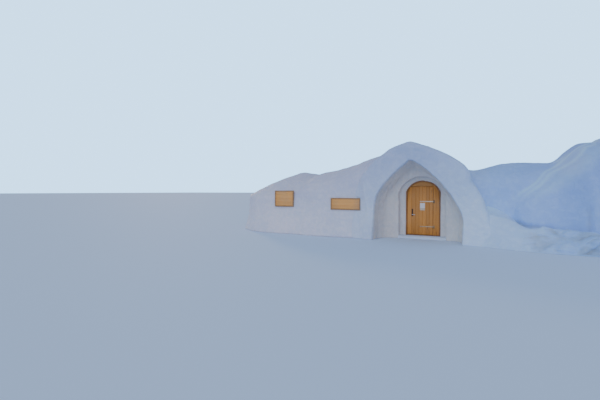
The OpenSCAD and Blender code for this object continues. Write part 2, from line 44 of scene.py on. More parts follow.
# Columns: place, crest height, wall-top height, crest y, front wall y, back wall y,
# spread of the foot, roundness of the roof
BODY_SECTIONS = np.array([
    [-6.20, 2.85, 1.60, 1.90, -0.95, 4.75, 0.20, 1.2],
    [-5.60, 2.75, 1.65, 1.90, -0.95, 4.75, 0.20, 1.6],
    [-5.00, 2.61, 1.70, 1.90, -0.95, 4.75, 0.20, 1.9],
    [-4.60, 2.85, 1.75, 1.95, -1.02, 4.80, 0.20, 2.0],
    [-3.90, 2.90, 1.80, 2.05, -1.10, 4.95, 0.20, 2.2],
    [-3.30, 3.05, 1.90, 2.20, -1.10, 5.05, 0.15, 2.2],
    [-2.80, 3.21, 2.05, 2.30, -1.10, 5.20, 0.10, 2.2],
    [-2.30, 3.39, 2.20, 2.35, -1.10, 5.30, 0.05, 2.3],
    [-2.10, 3.43, 2.25, 2.40, -1.10, 5.40, 0.00, 2.4],
    [-1.86, 3.50, 2.32, 2.40, -1.10, 5.43, 0.00, 2.4],
    [-1.74, 3.54, 2.36, 2.40, -0.20, 5.45, 0.00, 2.4],
    [-1.10, 3.74, 2.58, 2.40, -0.18, 5.45, 0.00, 2.4],
    [0.00, 3.76, 2.64, 2.40, -0.18, 5.45, 0.00, 2.4],
    [0.70, 3.40, 2.56, 2.40, -0.18, 5.45, 0.00, 2.4],
    [1.10, 2.98, 2.20, 2.45, -0.18, 5.50, 0.00, 2.4],
    [1.50, 2.74, 1.85, 2.50, -0.20, 5.50, 0.00, 2.4],
    [1.90, 2.77, 1.80, 2.55, -0.24, 5.60, 0.00, 2.4],
    [2.50, 2.97, 1.80, 2.70, -0.15, 5.80, 0.00, 2.2],
    [3.10, 3.05, 1.80, 2.70, -0.10, 5.90, 0.00, 2.2],
    [3.80, 3.00, 1.80, 2.70, -0.10, 5.90, 0.00, 2.2],
    [4.40, 2.94, 1.80, 2.65, -0.20, 5.95, 0.00, 2.2],
    [4.70, 3.29, 1.85, 2.60, -0.35, 5.95, 0.00, 2.3],
    [5.00, 3.60, 1.90, 2.60, -0.55, 5.95, 0.00, 2.4],
    [5.30, 3.71, 1.95, 2.60, -0.80, 6.00, 0.00, 2.4],
    [5.60, 3.74, 2.00, 2.60, -1.00, 6.10, 0.00, 2.4]])
WING_END, LINK_END, MERGE_FROM = -6.2, 5.6, 4.9
WALL_T, ROOF_T = 0.85, 0.75
DOME_X, DOME_Y, DOME_R, DOME_H = 8.3, 2.6, 4.67, 4.17
DOME_SPRING, DOME_ROUND, DOME_ROOM_R = 2.0, 2.5, 3.71
# The entrance stands in a gap of the front wall that reaches this far to each side
GAP_REACH = 1.5
# The valley between link and dome: its place at the foot, its lean, and where the lean starts
VALLEY_X, VALLEY_LEAN, VALLEY_FOOT = 1.25, 1.13, 1.3
# Snow that slid off the dome: how far out it stands, over what width, and the ribs in it
SLID_OUT, SLID_OVER, RIB_HEIGHT, RIB_TURN = 0.32, 0.9, 0.024, 14
# Streaks of fresh snow beside the valley: amount, distance past the valley, width
STREAKS = ((0.6, 0.02, 0.07), (0.5, 0.24, 0.09), (0.3, 0.65, 0.35))
# Lumps stand out and sink in by this much at most, and the skin is drawn in by a little
# more, so that it stays inside the object's box
RELIEF_LIMIT, DRAWN_IN = 0.03, 0.032
# The undercut behind the bank, and a sawn edge in the dome's face: depth, place, width
UNDERCUT, SAWN_DEPTH, SAWN_X, SAWN_WIDTH = 0.10, 0.06, 5.08, 0.04
# Only what lies in front of this depth belongs to the front wall there
FRONT_WALL_Y = 0.3
# Left, right, low and high edge of the wing's two boards, and how far back the snow behind
# each is pressed
NAME_BOARD, NAME_BOARD_BED = (-3.43, -2.17, 1.10, 1.58), -1.085
NOTICE_BOARD, NOTICE_BOARD_BED = (-6.20, -5.25, 1.17, 1.88), -0.945
SEAT_MARGIN = 0.06
# Fineness of the skin; the rooms' rows are coarser
STATION_GAP, MERGE_WITHIN, SKIN_PASSES = 0.065, 0.0006, 26
WALL_ROWS, ROOF_ROWS, CROWN_ROWS, COARSER = 24, 112, 24, 4
CAP_STEPS, DOME_STEPS = 110, 280
ON_GROUND = 1e-4


def ease(t):
    """Rises smoothly from 0 to 1 as t does."""
    t = np.clip(t, 0, 1)
    return t * t * (3 - 2 * t)


def bell(value, centre, width):
    """A bell curve, one high at its centre."""
    return np.exp(-((value - centre) / width) ** 2)


def smoothed(table, x, half, width):
    """A table's columns at places x, its first: straight lines between its rows, averaged
    under a bell curve that reaches half to each side, so that no corner is left."""
    reach = np.linspace(-half, half, round(2 * half / 0.05) + 1)
    weight = np.exp(-0.5 * (reach / width) ** 2)
    weight /= weight.sum()
    at = np.asarray(x, float)[..., None] + reach
    return [np.interp(at, table[:, 0], column) @ weight for column in table.T[1:]]


def section_values(x):
    """The body's section values at places x."""
    return smoothed(BODY_SECTIONS, x, 0.35, 0.14)


def point_grid(x, y, z):
    """Points from three coordinates whose shapes broadcast."""
    return np.stack(np.broadcast_arrays(x, y, z), -1)


def vault(x, wall, roof, wall_rows, roof_rows):
    """Cross-sections at places x, one a row of points from the front foot over the
    roof to the back foot. Walls rise straight from a foot that spreads as a cube; the
    roof between the wall tops is a superellipse. wall and roof are taken off inside."""
    crest, top, yc, yf, yb, foot, roundness = [v[:, None] for v in section_values(x)]
    crest, yf, yb = crest - roof, yf + wall, yb - wall
    x = x[:, None]
    up = np.linspace(0, 1, wall_rows + 1)[None, :-1]
    flare = foot * (wall == 0) * (1 - up) ** 3
    front = point_grid(x, yf - flare, top * up)
    back = point_grid(x, yb + flare, top * up)
    turn = np.linspace(0, np.pi, roof_rows + 1)[None, :]
    flat = np.abs(np.cos(turn)) ** (2 / roundness) * np.sign(np.cos(turn))
    y = yc - np.where(flat > 0, yc - yf, yb - yc) * flat
    z = top + (crest - top) * np.abs(np.sin(turn)) ** (2 / roundness)
    return np.concatenate([front, point_grid(x, y, z), back[:, ::-1]], 1)


def superellipse(share, power):
    """Height of a superellipse, one high and one wide, at a share of its reach."""
    return (1 - np.clip(share, 0, 1) ** power) ** (1 / power)


def dome_rings(r, h, wall_rows, roof_rows, crown_rows):
    """Radius and height of a dome's rings from the foot up: even steps to the spring
    line, then steps that land on the slice where the link ends, then even steps in."""
    slice_at = DOME_X - LINK_END
    wall_z = DOME_SPRING * np.linspace(0, 1, wall_rows + 1)
    spring_r = r * superellipse(DOME_SPRING / h, DOME_ROUND)
    half = np.sqrt(spring_r ** 2 - slice_at * slice_at)
    step = np.cos(0.5 * np.pi * np.linspace(0, 1, roof_rows // 2 + 1)[1:])
    radius = np.concatenate([r * superellipse(wall_z / h, DOME_ROUND),
                             np.hypot(slice_at, half * np.abs(step) ** 0.85),
                             slice_at * np.linspace(1, 0, crown_rows + 1)[1:]])
    over = h * superellipse(radius / r, DOME_ROUND)
    in_wall = np.arange(len(radius)) <= wall_rows
    return radius, np.where(in_wall, np.resize(wall_z, len(radius)), over)


def past_valley(points):
    """How far points lie to the right of the valley between link and dome."""
    return points[..., 0] - VALLEY_X - VALLEY_LEAN * np.maximum(points[..., 2], VALLEY_FOOT)


def merged_sections(x, wall, roof, dome_r, dome_h, wall_rows, roof_rows, passes):
    """Sections of the body whose last stretch grows into the dome's own slice. Outside,
    the dome's snow has slid against the link: past a valley that leans to the right as
    it rises, the front stands further out, with soft ribs beside the valley."""
    rows = vault(x, wall, roof, wall_rows, roof_rows)
    for _ in range(passes):
        rows[:, 1:-1] = 0.25 * (rows[:, :-2] + 2 * rows[:, 1:-1] + rows[:, 2:])
    if wall == 0:
        past = past_valley(rows)
        front = np.clip((section_values(x)[2][:, None] - rows[..., 1]) / 1.2, 0, 1)
        ribs = RIB_HEIGHT * np.sin(RIB_TURN * past) * bell(past, 0.3, 0.5)
        rows[..., 1] -= front * (SLID_OUT * ease(past / SLID_OVER) + ribs)
    radius, z = (ring[:-1] for ring in dome_rings(dome_r, dome_h, wall_rows, roof_rows, 1))
    y = np.sqrt(np.maximum(radius * radius - (DOME_X - LINK_END) ** 2, 0))
    dome_slice = np.stack([np.concatenate([DOME_Y - y, (DOME_Y + y)[-2::-1]]),
                           np.concatenate([z, z[-2::-1]])], -1)
    share = ease((x - MERGE_FROM) / (LINK_END - MERGE_FROM))[:, None, None]
    rows[..., 1:] = rows[..., 1:] * (1 - share) + dome_slice[None] * share
    return rows


def half_turn(profile, centre_y):
    """The wing's end: a section's front half, turned from front to back about an
    upright line through the end's centre."""
    angle = np.linspace(-0.5 * np.pi, -1.5 * np.pi, CAP_STEPS + 1)[:, None]
    reach = (centre_y - profile[:, 1])[None]
    return point_grid(WING_END + reach * np.cos(angle), centre_y + reach * np.sin(angle),
                      profile[None, :, 2])


def dome_grid(radius, z):
    """A dome's rings, each turned as far as the slice where the link ends."""
    slice_at = DOME_X - LINK_END
    open_at = np.arccos(np.clip(slice_at / np.maximum(radius, 1e-9), -1, 1))
    open_at = np.where(radius > slice_at + 1e-9, open_at, 0)
    angle = (np.pi - open_at)[None] * np.linspace(-1, 1, DOME_STEPS + 1)[:, None]
    return point_grid(DOME_X + radius * np.cos(angle), DOME_Y + radius * np.sin(angle), z[None])


def close_up(mesh, merge_within=None):
    """Merges doubles if a distance is given, turns faces outwards and shades smooth."""
    soft = bmesh.new()
    soft.from_mesh(mesh)
    if merge_within:
        bmesh.ops.remove_doubles(soft, verts=soft.verts, dist=merge_within)
    bmesh.ops.recalc_face_normals(soft, faces=soft.faces)
    soft.to_mesh(mesh)
    soft.free()
    mesh.shade_smooth()
    return mesh


class Shell:
    """Points and faces gathered from grids, to be merged into one mesh."""

    def __init__(self):
        self.points, self.quads, self.triangles, self.count = [], [], [], 0

    def grid(self, points, keep=None):
        """Adds a grid of points with a quad in every cell that keep allows, and
        gives back the grid of their numbers."""
        rows, cols = points.shape[:2]
        ids = self.count + np.arange(rows * cols).reshape(rows, cols)
        self.points.append(points.reshape(-1, 3))
        self.count += rows * cols
        quads = np.stack([ids[:-1, :-1], ids[1:, :-1], ids[1:, 1:], ids[:-1, 1:]], -1)
        self.quads.append(quads[keep] if keep is not None else quads.reshape(-1, 4))
        return ids

    def strip(self, one, other):
        """Quads between two equally long rows of points."""
        self.quads.append(np.stack([one[:-1], one[1:], other[1:], other[:-1]], -1))

    def comb(self, fine, coarse):
        """Triangles between a fine row and a coarse row of points."""
        ratio = (len(fine) - 1) // (len(coarse) - 1)
        i = np.arange(len(fine) - 1)
        near = i // ratio + (i % ratio >= ratio // 2)
        k = np.arange(len(coarse) - 1)
        tip = fine[k * ratio + ratio // 2]
        self.triangles += [np.stack([fine[i], fine[i + 1], coarse[near]], -1),
                           np.stack([coarse[k], coarse[k + 1], tip], -1)]

    def mesh(self, name):
        """One closed mesh of all that was added."""
        made = bpy.data.meshes.new(name)
        faces = np.concatenate(self.quads).tolist() + np.concatenate(self.triangles).tolist()
        made.from_pydata(np.concatenate(self.points).tolist(), [], faces)
        return close_up(made, MERGE_WITHIN)


def ripple(points, size, seed):
    """A smooth random field over space, about one high: the mean of 18 sine waves of
    random direction and phase, whose lengths lie round size."""
    draw = np.random.default_rng(seed)
    way = draw.normal(size=(3, 18))
    way /= np.linalg.norm(way, axis=0)
    way *= 2 * np.pi / (size * draw.uniform(0.7, 1.5, 18))
    return np.sin(points @ way + draw.uniform(0, 2 * np.pi, 18)).sum(-1) / 3


def lumps(points, *layers):
    """Unevenness of snow: ripples added up, each with its height, size and seed."""
    return sum(height * ripple(points, size, seed) for height, size, seed in layers)


def surface(mesh):
    """The places of a mesh's vertices and the directions out of it, as two arrays."""
    values = np.empty((2, len(mesh.vertices) * 3))
    mesh.vertices.foreach_get("co", values[0])
    mesh.vertex_normals.foreach_get("vector", values[1])
    return values.reshape(2, -1, 3)


def settle(mesh, points, grounded):
    """Puts moved places back into a mesh. What stood on the ground still does, and
    nothing sinks below it."""
    points[:, 2] = np.where(grounded, 0, np.maximum(points[:, 2], 0))
    mesh.vertices.foreach_set("co", points.ravel())
    mesh.update()


def mark_points(mesh, mark, amount):
    """Writes an amount for every vertex into an attribute of the mesh."""
    made = mesh.attributes.new(mark, "FLOAT", "POINT")
    made.data.foreach_set("value", np.clip(amount, 0, 1).astype(float).ravel())


def place(mesh, material, body="igloo", replaced=()):
    """Links a mesh as a piece that rides on a body and stands for CAD nodes."""
    piece = bpy.data.objects.new(mesh.name, mesh)
    bpy.context.scene.collection.objects.link(piece)
    mesh.materials.append(material)
    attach(piece, body)
    if replaced:
        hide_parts(*replaced)


def node_group(name, inputs, outputs):
    """An empty shader group and its inputs: sockets of a name, a kind and a start
    value. Its outputs are single values."""
    group = bpy.data.node_groups.new(name, "ShaderNodeTree")
    for socket, kind, start in inputs:
        made = group.interface.new_socket(socket, in_out="INPUT", socket_type="NodeSocket" + kind)
        if start is not None:
            made.default_value = start
    for socket in outputs:
        group.interface.new_socket(socket, in_out="OUTPUT", socket_type="NodeSocketFloat")
    return group, wire(group, "NodeGroupInput").outputs


def wire(tree, kind, links=None, **settings):
    """A node of a kind, with its settings, and inputs linked or set by number or name."""
    node = tree.nodes.new("ShaderNode" + kind if not kind.startswith("Node") else kind)
    for key, value in settings.items():
        setattr(node, key, value)
    for key, value in (links or {}).items():
        if isinstance(value, bpy.types.NodeSocket):
            tree.links.new(value, node.inputs[key])
        else:
            node.inputs[key].default_value = value
    return node


def times(tree, one, other):
    """The product of two values."""
    return wire(tree, "Math", {0: one, 1: other}, operation="MULTIPLY").outputs[0]


def plus(tree, one, other):
    """The sum of two values."""
    return wire(tree, "Math", {0: one, 1: other}, operation="ADD").outputs[0]


def stretch(tree, value, low, high, low_out=0.0, high_out=1.0, kind="LINEAR"):
    """A value whose range from low to high is stretched over another range."""
    return wire(tree, "MapRange", {0: value, 1: low, 2: high, 3: low_out, 4: high_out},
                interpolation_type=kind).outputs[0]


def noise(tree, where, scale, detail, roughness=0.5, distortion=0.0):
    """Cloudy random grey over places."""
    return wire(tree, "TexNoise", {"Vector": where, "Scale": scale, "Detail": detail,
                                   "Roughness": roughness, "Distortion": distortion}).outputs[0]


def cells(tree, where, scale, kind="F1"):
    """Random cells over places: the distance to their centres, and a colour each."""
    return wire(tree, "TexVoronoi", {"Vector": where, "Scale": scale}, feature=kind).outputs


def object_place(tree):
    """The place on the object."""
    return wire(tree, "TexCoord").outputs["Object"]


def parts(tree, kind, value):
    """The three parts of a place or a colour."""
    return wire(tree, "Separate" + kind, {0: value}).outputs


def ramp(tree, factor, stops):
    """A colour ramp with stops of position and colour."""
    node = wire(tree, "ValToRGB", {0: factor})
    while len(node.color_ramp.elements) < len(stops):
        node.color_ramp.elements.new(0.5)
    for element, (position, colour) in zip(node.color_ramp.elements, stops):
        element.position = position
        element.color = (*colour, 1)
    return node.outputs[0]


def mix(tree, factor, one, other, blend="MIX"):
    """A mix of two colours."""
    node = wire(tree, "Mix", data_type="RGBA", blend_type=blend)
    for index, value in ((0, factor), (6, one), (7, other)):
        if isinstance(value, bpy.types.NodeSocket):
            tree.links.new(value, node.inputs[index])
        else:
            node.inputs[index].default_value = (*value, 1) if index else value
    return node.outputs[2]


def new_material(name):
    """A new material, its node tree and its surface shader."""
    material = bpy.data.materials.new(name)
    material.use_nodes = True
    return material, material.node_tree, material.node_tree.nodes["Principled BSDF"]


def dress(tree, shader, colour, roughness, height, distance, strength):
    """Gives a surface its colour, its roughness and its bump."""
    bump = wire(tree, "Bump", {"Height": height, "Distance": distance, "Strength": strength})
    for socket, value in (("Base Color", colour), ("Roughness", roughness),
                          ("Normal", bump.outputs[0])):
        tree.links.new(value, shader.inputs[socket])


# Packed snow, as a shared effect: cloudy tone, crust patches, hard grains and pits
snow_grain, given = node_group("snow_grain", [("Crust", "Float", 1.0), ("Grain", "Float", 1.0)],
                               ["Tone", "Height", "Glint"])
where = object_place(snow_grain)
cloud = noise(snow_grain, where, 0.8, 4.0, 0.55)
patch = noise(snow_grain, where, 5.5, 5.0, 0.6, 0.35)
grain = noise(snow_grain, where, 55.0, 4.0, 0.7)
pits = cells(snow_grain, where, 26.0, "SMOOTH_F1")[0]
crust = stretch(snow_grain, patch, 0.42, 0.62, kind="SMOOTHSTEP")
tone = plus(snow_grain, cloud, times(snow_grain, crust, 0.22))
rough = plus(snow_grain, times(snow_grain, crust, given["Crust"]), times(snow_grain, patch, 1.2))
fine = plus(snow_grain, times(snow_grain, grain, given["Grain"]), times(snow_grain, pits, 0.5))
height = plus(snow_grain, times(snow_grain, rough, 0.55), times(snow_grain, fine, 0.25))
sparks = cells(snow_grain, where, 140.0)["Color"]
glint = stretch(snow_grain, parts(snow_grain, "Color", sparks)[0], 0.93, 0.99)
wire(snow_grain, "NodeGroupOutput", {"Tone": tone, "Height": height, "Glint": glint})

SNOW_SHADE, SNOW_LIGHT, NO_TINT = (0.64, 0.73, 0.83), (0.80, 0.86, 0.90), (1.0, 1.0, 1.0)
# BACK_TINT is a set tint at the back; the others are painted shade at the crests, on the niche's cut faces
# and in hollows, and the blue of loose new snow
BACK_TINT, CREST_PAINTED_SHADE, NICHE_PAINTED_SHADE = (0.84, 0.89, 1.0), (0.75, 0.77, 0.88), (1.15, 0.96, 0.78)
HOLLOW_PAINTED_SHADE, FRESH_SNOW = (0.86, 0.72, 0.60), (0.58, 0.84, 1.0)


def snow_material(name, along):
    """Snow: a cool tone that drifts at random between two colours, granular bump, sparks,
    and painted light along the front: warm at the left and a painted blue shade at the
    right, giving way to a set tint at the back. Painted shade greys it towards the crests.
    The attributes cut, hollow and fresh mark sawn faces and hollows, both darkened with
    painted shade, and loose new snow."""
    material, tree, shader = new_material(name)
    snow = wire(tree, "Group", {"Crust": 0.5, "Grain": 0.8}, node_tree=snow_grain).outputs
    x, y, z = parts(tree, "XYZ", object_place(tree))
    cut, hollow, fresh = (wire(tree, "Attribute", attribute_name=mark).outputs["Fac"]
                          for mark in ("cut", "hollow", "fresh"))
    tint = ramp(tree, snow["Tone"], [(0.3, SNOW_SHADE), (0.85, SNOW_LIGHT)])
    # Painted light along the front, given by along: warm at the left, painted blue shade at the right;
    # towards the back it gives way to a set tint
    painted_light_tint = ramp(tree, stretch(tree, x, -6.0, 6.0), along)
    painted_light_tint = mix(tree, stretch(tree, y, 2.3, 4.3), painted_light_tint, BACK_TINT)
    # Painted shade: greyer towards the crests and on the niche's cut faces
    crest = mix(tree, stretch(tree, z, 1.0, 3.2), NO_TINT, CREST_PAINTED_SHADE)
    crest = mix(tree, cut, crest, NICHE_PAINTED_SHADE)
    for layer in (painted_light_tint, crest):
        tint = mix(tree, 1.0, tint, layer, "MULTIPLY")
    # Painted shade in the hollows; then the colour of loose new snow
    tint = mix(tree, hollow, tint, mix(tree, 1.0, tint, HOLLOW_PAINTED_SHADE, "MULTIPLY"))
    tint = mix(tree, fresh, tint, FRESH_SNOW)
    dress(tree, shader, tint, stretch(tree, snow["Glint"], 0.0, 1.0, 0.78, 0.3),
          snow["Height"], 0.02, 0.8)
    shader.inputs["Specular IOR Level"].default_value = 0.35
    shader.inputs["Subsurface Weight"].default_value = 0.12
    shader.inputs["Subsurface Radius"].default_value = (0.4, 0.65, 1.0)
    shader.inputs["Subsurface Scale"].default_value = 0.06
    return material


# Painted light along the front: warm on the wing, painted blue shade over the link and the dome
blown_snow = snow_material("blown_snow", [
    (0.0, (1.08, 0.90, 0.90)), (0.3, (1.04, 0.90, 0.92)), (0.5, (0.89, 0.89, 0.99)),
    (0.65, (0.77, 0.87, 1.08)), (0.70, (0.67, 0.85, 1.14)), (0.85, (0.62, 0.78, 1.12)),
    (1.0, (0.57, 0.72, 1.07))])

stations = np.linspace(WING_END, LINK_END, round((LINK_END - WING_END) / STATION_GAP) + 1)
gap_from, gap_to = (int(np.argmin(np.abs(stations - edge))) for edge in (-GAP_REACH, GAP_REACH))
stations[[gap_from, gap_to]] = -GAP_REACH, GAP_REACH
room_rows = [count // COARSER for count in (WALL_ROWS, ROOF_ROWS, CROWN_ROWS)]
skin = merged_sections(stations, 0, 0, DOME_R, DOME_H, WALL_ROWS, ROOF_ROWS, SKIN_PASSES)
room = merged_sections(stations, WALL_T, ROOF_T, DOME_ROOM_R, DOME_H - ROOF_T, *room_rows[:2], 1)
body = Shell()


def with_gap(rows, top_row):
    """Cells to keep: all but those of the front wall where the entrance stands."""
    keep = np.ones((rows.shape[0] - 1, rows.shape[1] - 1), bool)
    keep[gap_from:gap_to, :top_row] = False
    return keep


outer = body.grid(skin, with_gap(skin, WALL_ROWS))
inner = body.grid(room, with_gap(room, room_rows[0]))
crest_row = WALL_ROWS + ROOF_ROWS // 2
cap_out, cap_in = (body.grid(half_turn(rows[0, :crest + 1], rows[0, crest, 1]))
                   for rows, crest in ((skin, crest_row), (room, crest_row // COARSER)))
dome_out = body.grid(dome_grid(*dome_rings(DOME_R, DOME_H, WALL_ROWS, ROOF_ROWS, CROWN_ROWS)))
dome_in = body.grid(dome_grid(*dome_rings(DOME_ROOM_R, DOME_H - ROOF_T, *room_rows)))
for one, other in ((outer[:gap_from + 1, 0], inner[:gap_from + 1, 0]),
                   (outer[gap_to:, 0], inner[gap_to:, 0]), (outer[:, -1], inner[:, -1]),
                   (cap_out[:, 0], cap_in[:, 0]), (dome_out[:, 0], dome_in[:, 0]),
                   (outer[gap_from:gap_to + 1, WALL_ROWS], inner[gap_from:gap_to + 1, room_rows[0]])):
    body.strip(one, other)
for side in (gap_from, gap_to):
    body.comb(outer[side, :WALL_ROWS + 1], inner[side, :room_rows[0] + 1])
body_mesh = body.mesh("snow_body")


def board_seat(points, edges, back):
    """Presses snow back behind a board: inside its edges and a soft margin round them,
    no point of the front wall stands further out than back."""
    left, right, low, high = edges
    inside = np.minimum(np.minimum(points[:, 0] - left, right - points[:, 0]),
                        np.minimum(points[:, 2] - low, high - points[:, 2]))
    soft = ease(1 + inside / SEAT_MARGIN) * (points[:, 1] < 0)
    points[:, 1] += soft * np.maximum(back - points[:, 1], 0)


spots, out_way = surface(body_mesh)
on_ground = spots[:, 2] < ON_GROUND
relief = lumps(spots, (0.014, 1.5, 3), (0.007, 0.55, 4), (0.003, 0.24, 5))
relief = RELIEF_LIMIT * np.tanh(relief / RELIEF_LIMIT) - DRAWN_IN
spots = spots + out_way * relief[:, None]
board_seat(spots, NAME_BOARD, NAME_BOARD_BED)
board_seat(spots, NOTICE_BOARD, NOTICE_BOARD_BED)
# The hollow behind the snow bank, undercut along a line that drops to the right
x, z, on_front = spots[:, 0], spots[:, 2], spots[:, 1] < FRONT_WALL_Y
line_z = np.interp(x, [3.05, 3.45, 4.6], [0.80, 0.64, 0.62])
line_width = np.interp(x, [3.05, 3.25, 3.5, 4.6], [0.05, 0.11, 0.06, 0.04])
hollow = (bell(z, line_z, line_width) * ease((x - 2.98) / 0.12) * ease((4.9 - x) / 1.2)
          * on_front)
# A sawn edge that stands in the dome's face where the bank was dug away
sawn = (bell(x, SAWN_X, SAWN_WIDTH) * ease((z - 0.5) / 0.1) * ease((1.42 - z) / 0.14)
        * on_front)
spots[:, 1] += UNDERCUT * hollow + SAWN_DEPTH * sawn
settle(body_mesh, spots, on_ground)
# Painted shade along the undercut and beside the sawn edge
mark_points(body_mesh, "hollow", np.maximum(hollow, 0.4 * sawn))
past = past_valley(spots) + 0.05 * ripple(spots, 0.9, 6)
streaks = sum(amount * bell(past, centre, width) for amount, centre, width in STREAKS)
mark_points(body_mesh, "fresh", streaks * ease((spots[:, 2] - 1.45) / 0.5) * ease(
    (2.9 - spots[:, 1]) / 0.8))
place(body_mesh, blown_snow, replaced=[
    "hall_roof", "hall_back_wall", "wing_front_wall", "wing_roof", "wing_back_wall",
    "wing_end_front", "wing_end_back", "link_front_wall", "link_roof", "link_back_wall",
    "dome_wall_front_left", "dome_wall_front_right", "dome_wall_back_right",
    "dome_wall_back_left", "dome_roof_front_left", "dome_roof_front_right",
    "dome_roof_back_right", "dome_roof_back_left"])


# Entrance: the arched porch, its pointed niche and the wall with the door's recess. The real one
# is the same snow, cut by hand with shovels and saws after it had set. Made as one closed profile,
# from the doorway out over the gable and back into the hall, carried along the arch.

PEAK_X, PORCH_H, NICHE_H, PORCH_Y = -0.245, 3.68, 3.0, -1.3
# The gable's outer edge: a waisted superellipse on the left, a shoulder over a spreading
# flank on the right. The apron is what the left pier fades into.
LEFT_REACH, LEFT_WAIST, APRON_REACH, LEFT_ROUND = 2.85, 0.85, 3.3, 1.7
SHOULDER_Z, SHOULDER_REACH, FLANK_REACH, FLANK_FOOT = 2.2, 2.04, 0.65, 0.5
# The niche's left and right side: foot, lean, height of the spring, sharpness, power
NICHE_SIDES = {-1: (-1.645, -1.545, 1.4, 1.6, 1.0), 1: (1.54, 1.575, 0.8, 1.47, 0.8)}
ROOM_EDGE = np.array([(-1.6, 0), (-1.6, 2.65), (-1.1, 2.8), (-0.5, 2.88), (0, 2.9),
                      (0.5, 2.8), (0.9, 2.55), (1.3, 2.2), (1.6, 1.95), (1.6, 0)])
# Width, radius of the head and height of the crown. The snow bears on the frame by BEARING.
BEARING = 0.014
DOORWAY = (1.31 - 2 * BEARING, 0.702 - BEARING, 2.273 - BEARING)
RECESS = (1.76, 0.92, 2.42)
HALF_COLUMNS = 150
# Depths at which the profile is drawn in, and by how much: the gable, its fade into the
# wing, and the niche
OUTER_Y = [PORCH_Y, -1.275, -1.23, -1.16, -1.06, -0.9, -0.6, -0.3, 0.3, 1.7]
OUTER_IN = [0.20, 0.115, 0.05, 0.012, 0.0, 0.004, 0.012, 0.02, 0.10, 0.65]
OUTER_FADE = [0.27, 0.22, 0.12, -0.06, -0.38, -0.75, -1.0, -1.0, -1.0, -1.0]
INNER_Y = [PORCH_Y, -1.275, -1.23, -1.16, -1.06, -0.3]
INNER_IN = [-0.036, -0.012, 0.0, 0.006, 0.015, 0.11]
# Depth of the hall's inner face, and of a row close to the doorway's outer edge
HALL_FACE_Y, EDGE_ROW_Y = 0.59, 0.045
# How the recess widens into the niche: share of the way, and depth
NICHE_BACK = [(0.0, -0.25), (0.30, -0.255), (0.5, -0.268), (0.66, -0.30), (0.79, -0.36),
              (0.89, -0.45), (0.96, -0.57)]
# The gable runs back until it lies this far under the body's skin, and no further than this
SUNK_BY, RUN_BACK = 0.14, 1.7
# Rows of the profile: the doorway's edge, the two between which the painted shade of the
# cut snow fades out at the niche's rim, and the last one that bears the marks of the saw
EDGE_ROW, FADE_ROW, RIM_ROW, LAST_SAWN_ROW = 8, 84, 91, 97


def left_side(z):
    """Share of its reach that the porch's left edge has at height z."""
    return superellipse(z / PORCH_H, LEFT_ROUND)


def gable_x(z, side):
    """Outer edge of the porch at height z."""
    if side < 0:
        return PEAK_X - LEFT_REACH * left_side(z) + LEFT_WAIST * (1 - ease((z - 0.9) / 1.8))
    over = np.clip((z - SHOULDER_Z) / (PORCH_H - SHOULDER_Z), 0, 1)
    under = np.minimum(1, z / SHOULDER_Z)
    flank = FLANK_REACH * (1 - under ** 2.5) + FLANK_FOOT * np.maximum(0, 1 - z / 0.9) ** 2
    return PEAK_X + SHOULDER_REACH * (1 - over ** 2.15) ** 0.97 + flank


def niche_x(z, side):
    """Edge of the niche at height z: a nearly upright side that leans in to a point."""
    foot, lean, spring, sharp, power = NICHE_SIDES[side]
    up = np.clip((z - spring) / (NICHE_H - spring), 0, 1)
    straight = foot + (lean - foot) * np.minimum(1, z / spring)
    return PEAK_X + (straight - PEAK_X) * (1 - up ** sharp) ** power


def apron_x(z, side):
    """Edge of the apron at height z."""
    return PEAK_X + side * APRON_REACH * left_side(z)


def even_columns(left, right):
    """Joins two half outlines, both from foot to crown, into one row of points that
    are evenly spaced along each half."""
    halves = []
    for half in (left, right):
        along = np.r_[0, np.cumsum(np.hypot(*np.diff(half, axis=0).T))]
        at = np.linspace(0, along[-1], HALF_COLUMNS + 1)
        halves.append(np.stack([np.interp(at, along, half[:, k]) for k in (0, 1)], -1))
    return np.concatenate([halves[0], halves[1][-2::-1]])


def free_outline(edge, top):
    """Columns of an outline given as x over z for each side."""
    z = top * np.sin(0.5 * np.pi * np.linspace(0, 1, 700))
    return even_columns(*(np.stack([edge(z, side), z], -1) for side in (-1, 1)))


def round_head(width, radius, crown):
    """Columns of an opening with straight sides and a round head."""
    turn = np.linspace(np.arcsin(0.5 * width / radius), 0, 200)
    arc = np.stack([radius * np.sin(turn), crown - radius + radius * np.cos(turn)], -1)
    right = np.concatenate([[(0.5 * width, 0)], arc])
    return even_columns(right * (-1, 1), right)


gable, niche = free_outline(gable_x, PORCH_H), free_outline(niche_x, NICHE_H)
doorway, recess = round_head(*DOORWAY), round_head(*RECESS)
room_edge = even_columns(ROOM_EDGE[:5], ROOM_EDGE[:3:-1])
for _ in range(2):
    gable[1:-1] = 0.25 * (gable[:-2] + 2 * gable[1:-1] + gable[2:])
inward = niche - gable
inward /= np.linalg.norm(inward, axis=1)[:, None]
apron = free_outline(apron_x, PORCH_H)
columns = len(gable)
leftness = ease((PEAK_X - 0.9 - gable[:, 0]) / 0.8) * ease((2.8 - gable[:, 1]) / 1.1)


def body_height(x, y):
    """Height of the snow body's skin over a place, zero in front of its wall."""
    crest, top, yc, yf, yb, _, roundness = section_values(x)
    off = np.clip(np.where(y < yc, (yc - y) / (yc - yf), (y - yc) / (yb - yc)), 0, 1)
    over = top + (crest - top) * superellipse(off, roundness)
    return np.where((y > yf) & (y < yb), over, 0)


def ring(outline, y):
    """A knot of the profile in every column: an outline at depth y."""
    return point_grid(outline[:, 0], y, outline[:, 1])


def drawn_niche(y):
    """The niche's outline at depth y, drawn in by the niche's table."""
    return ring(niche + inward * np.interp(y, INNER_Y, INNER_IN), y)


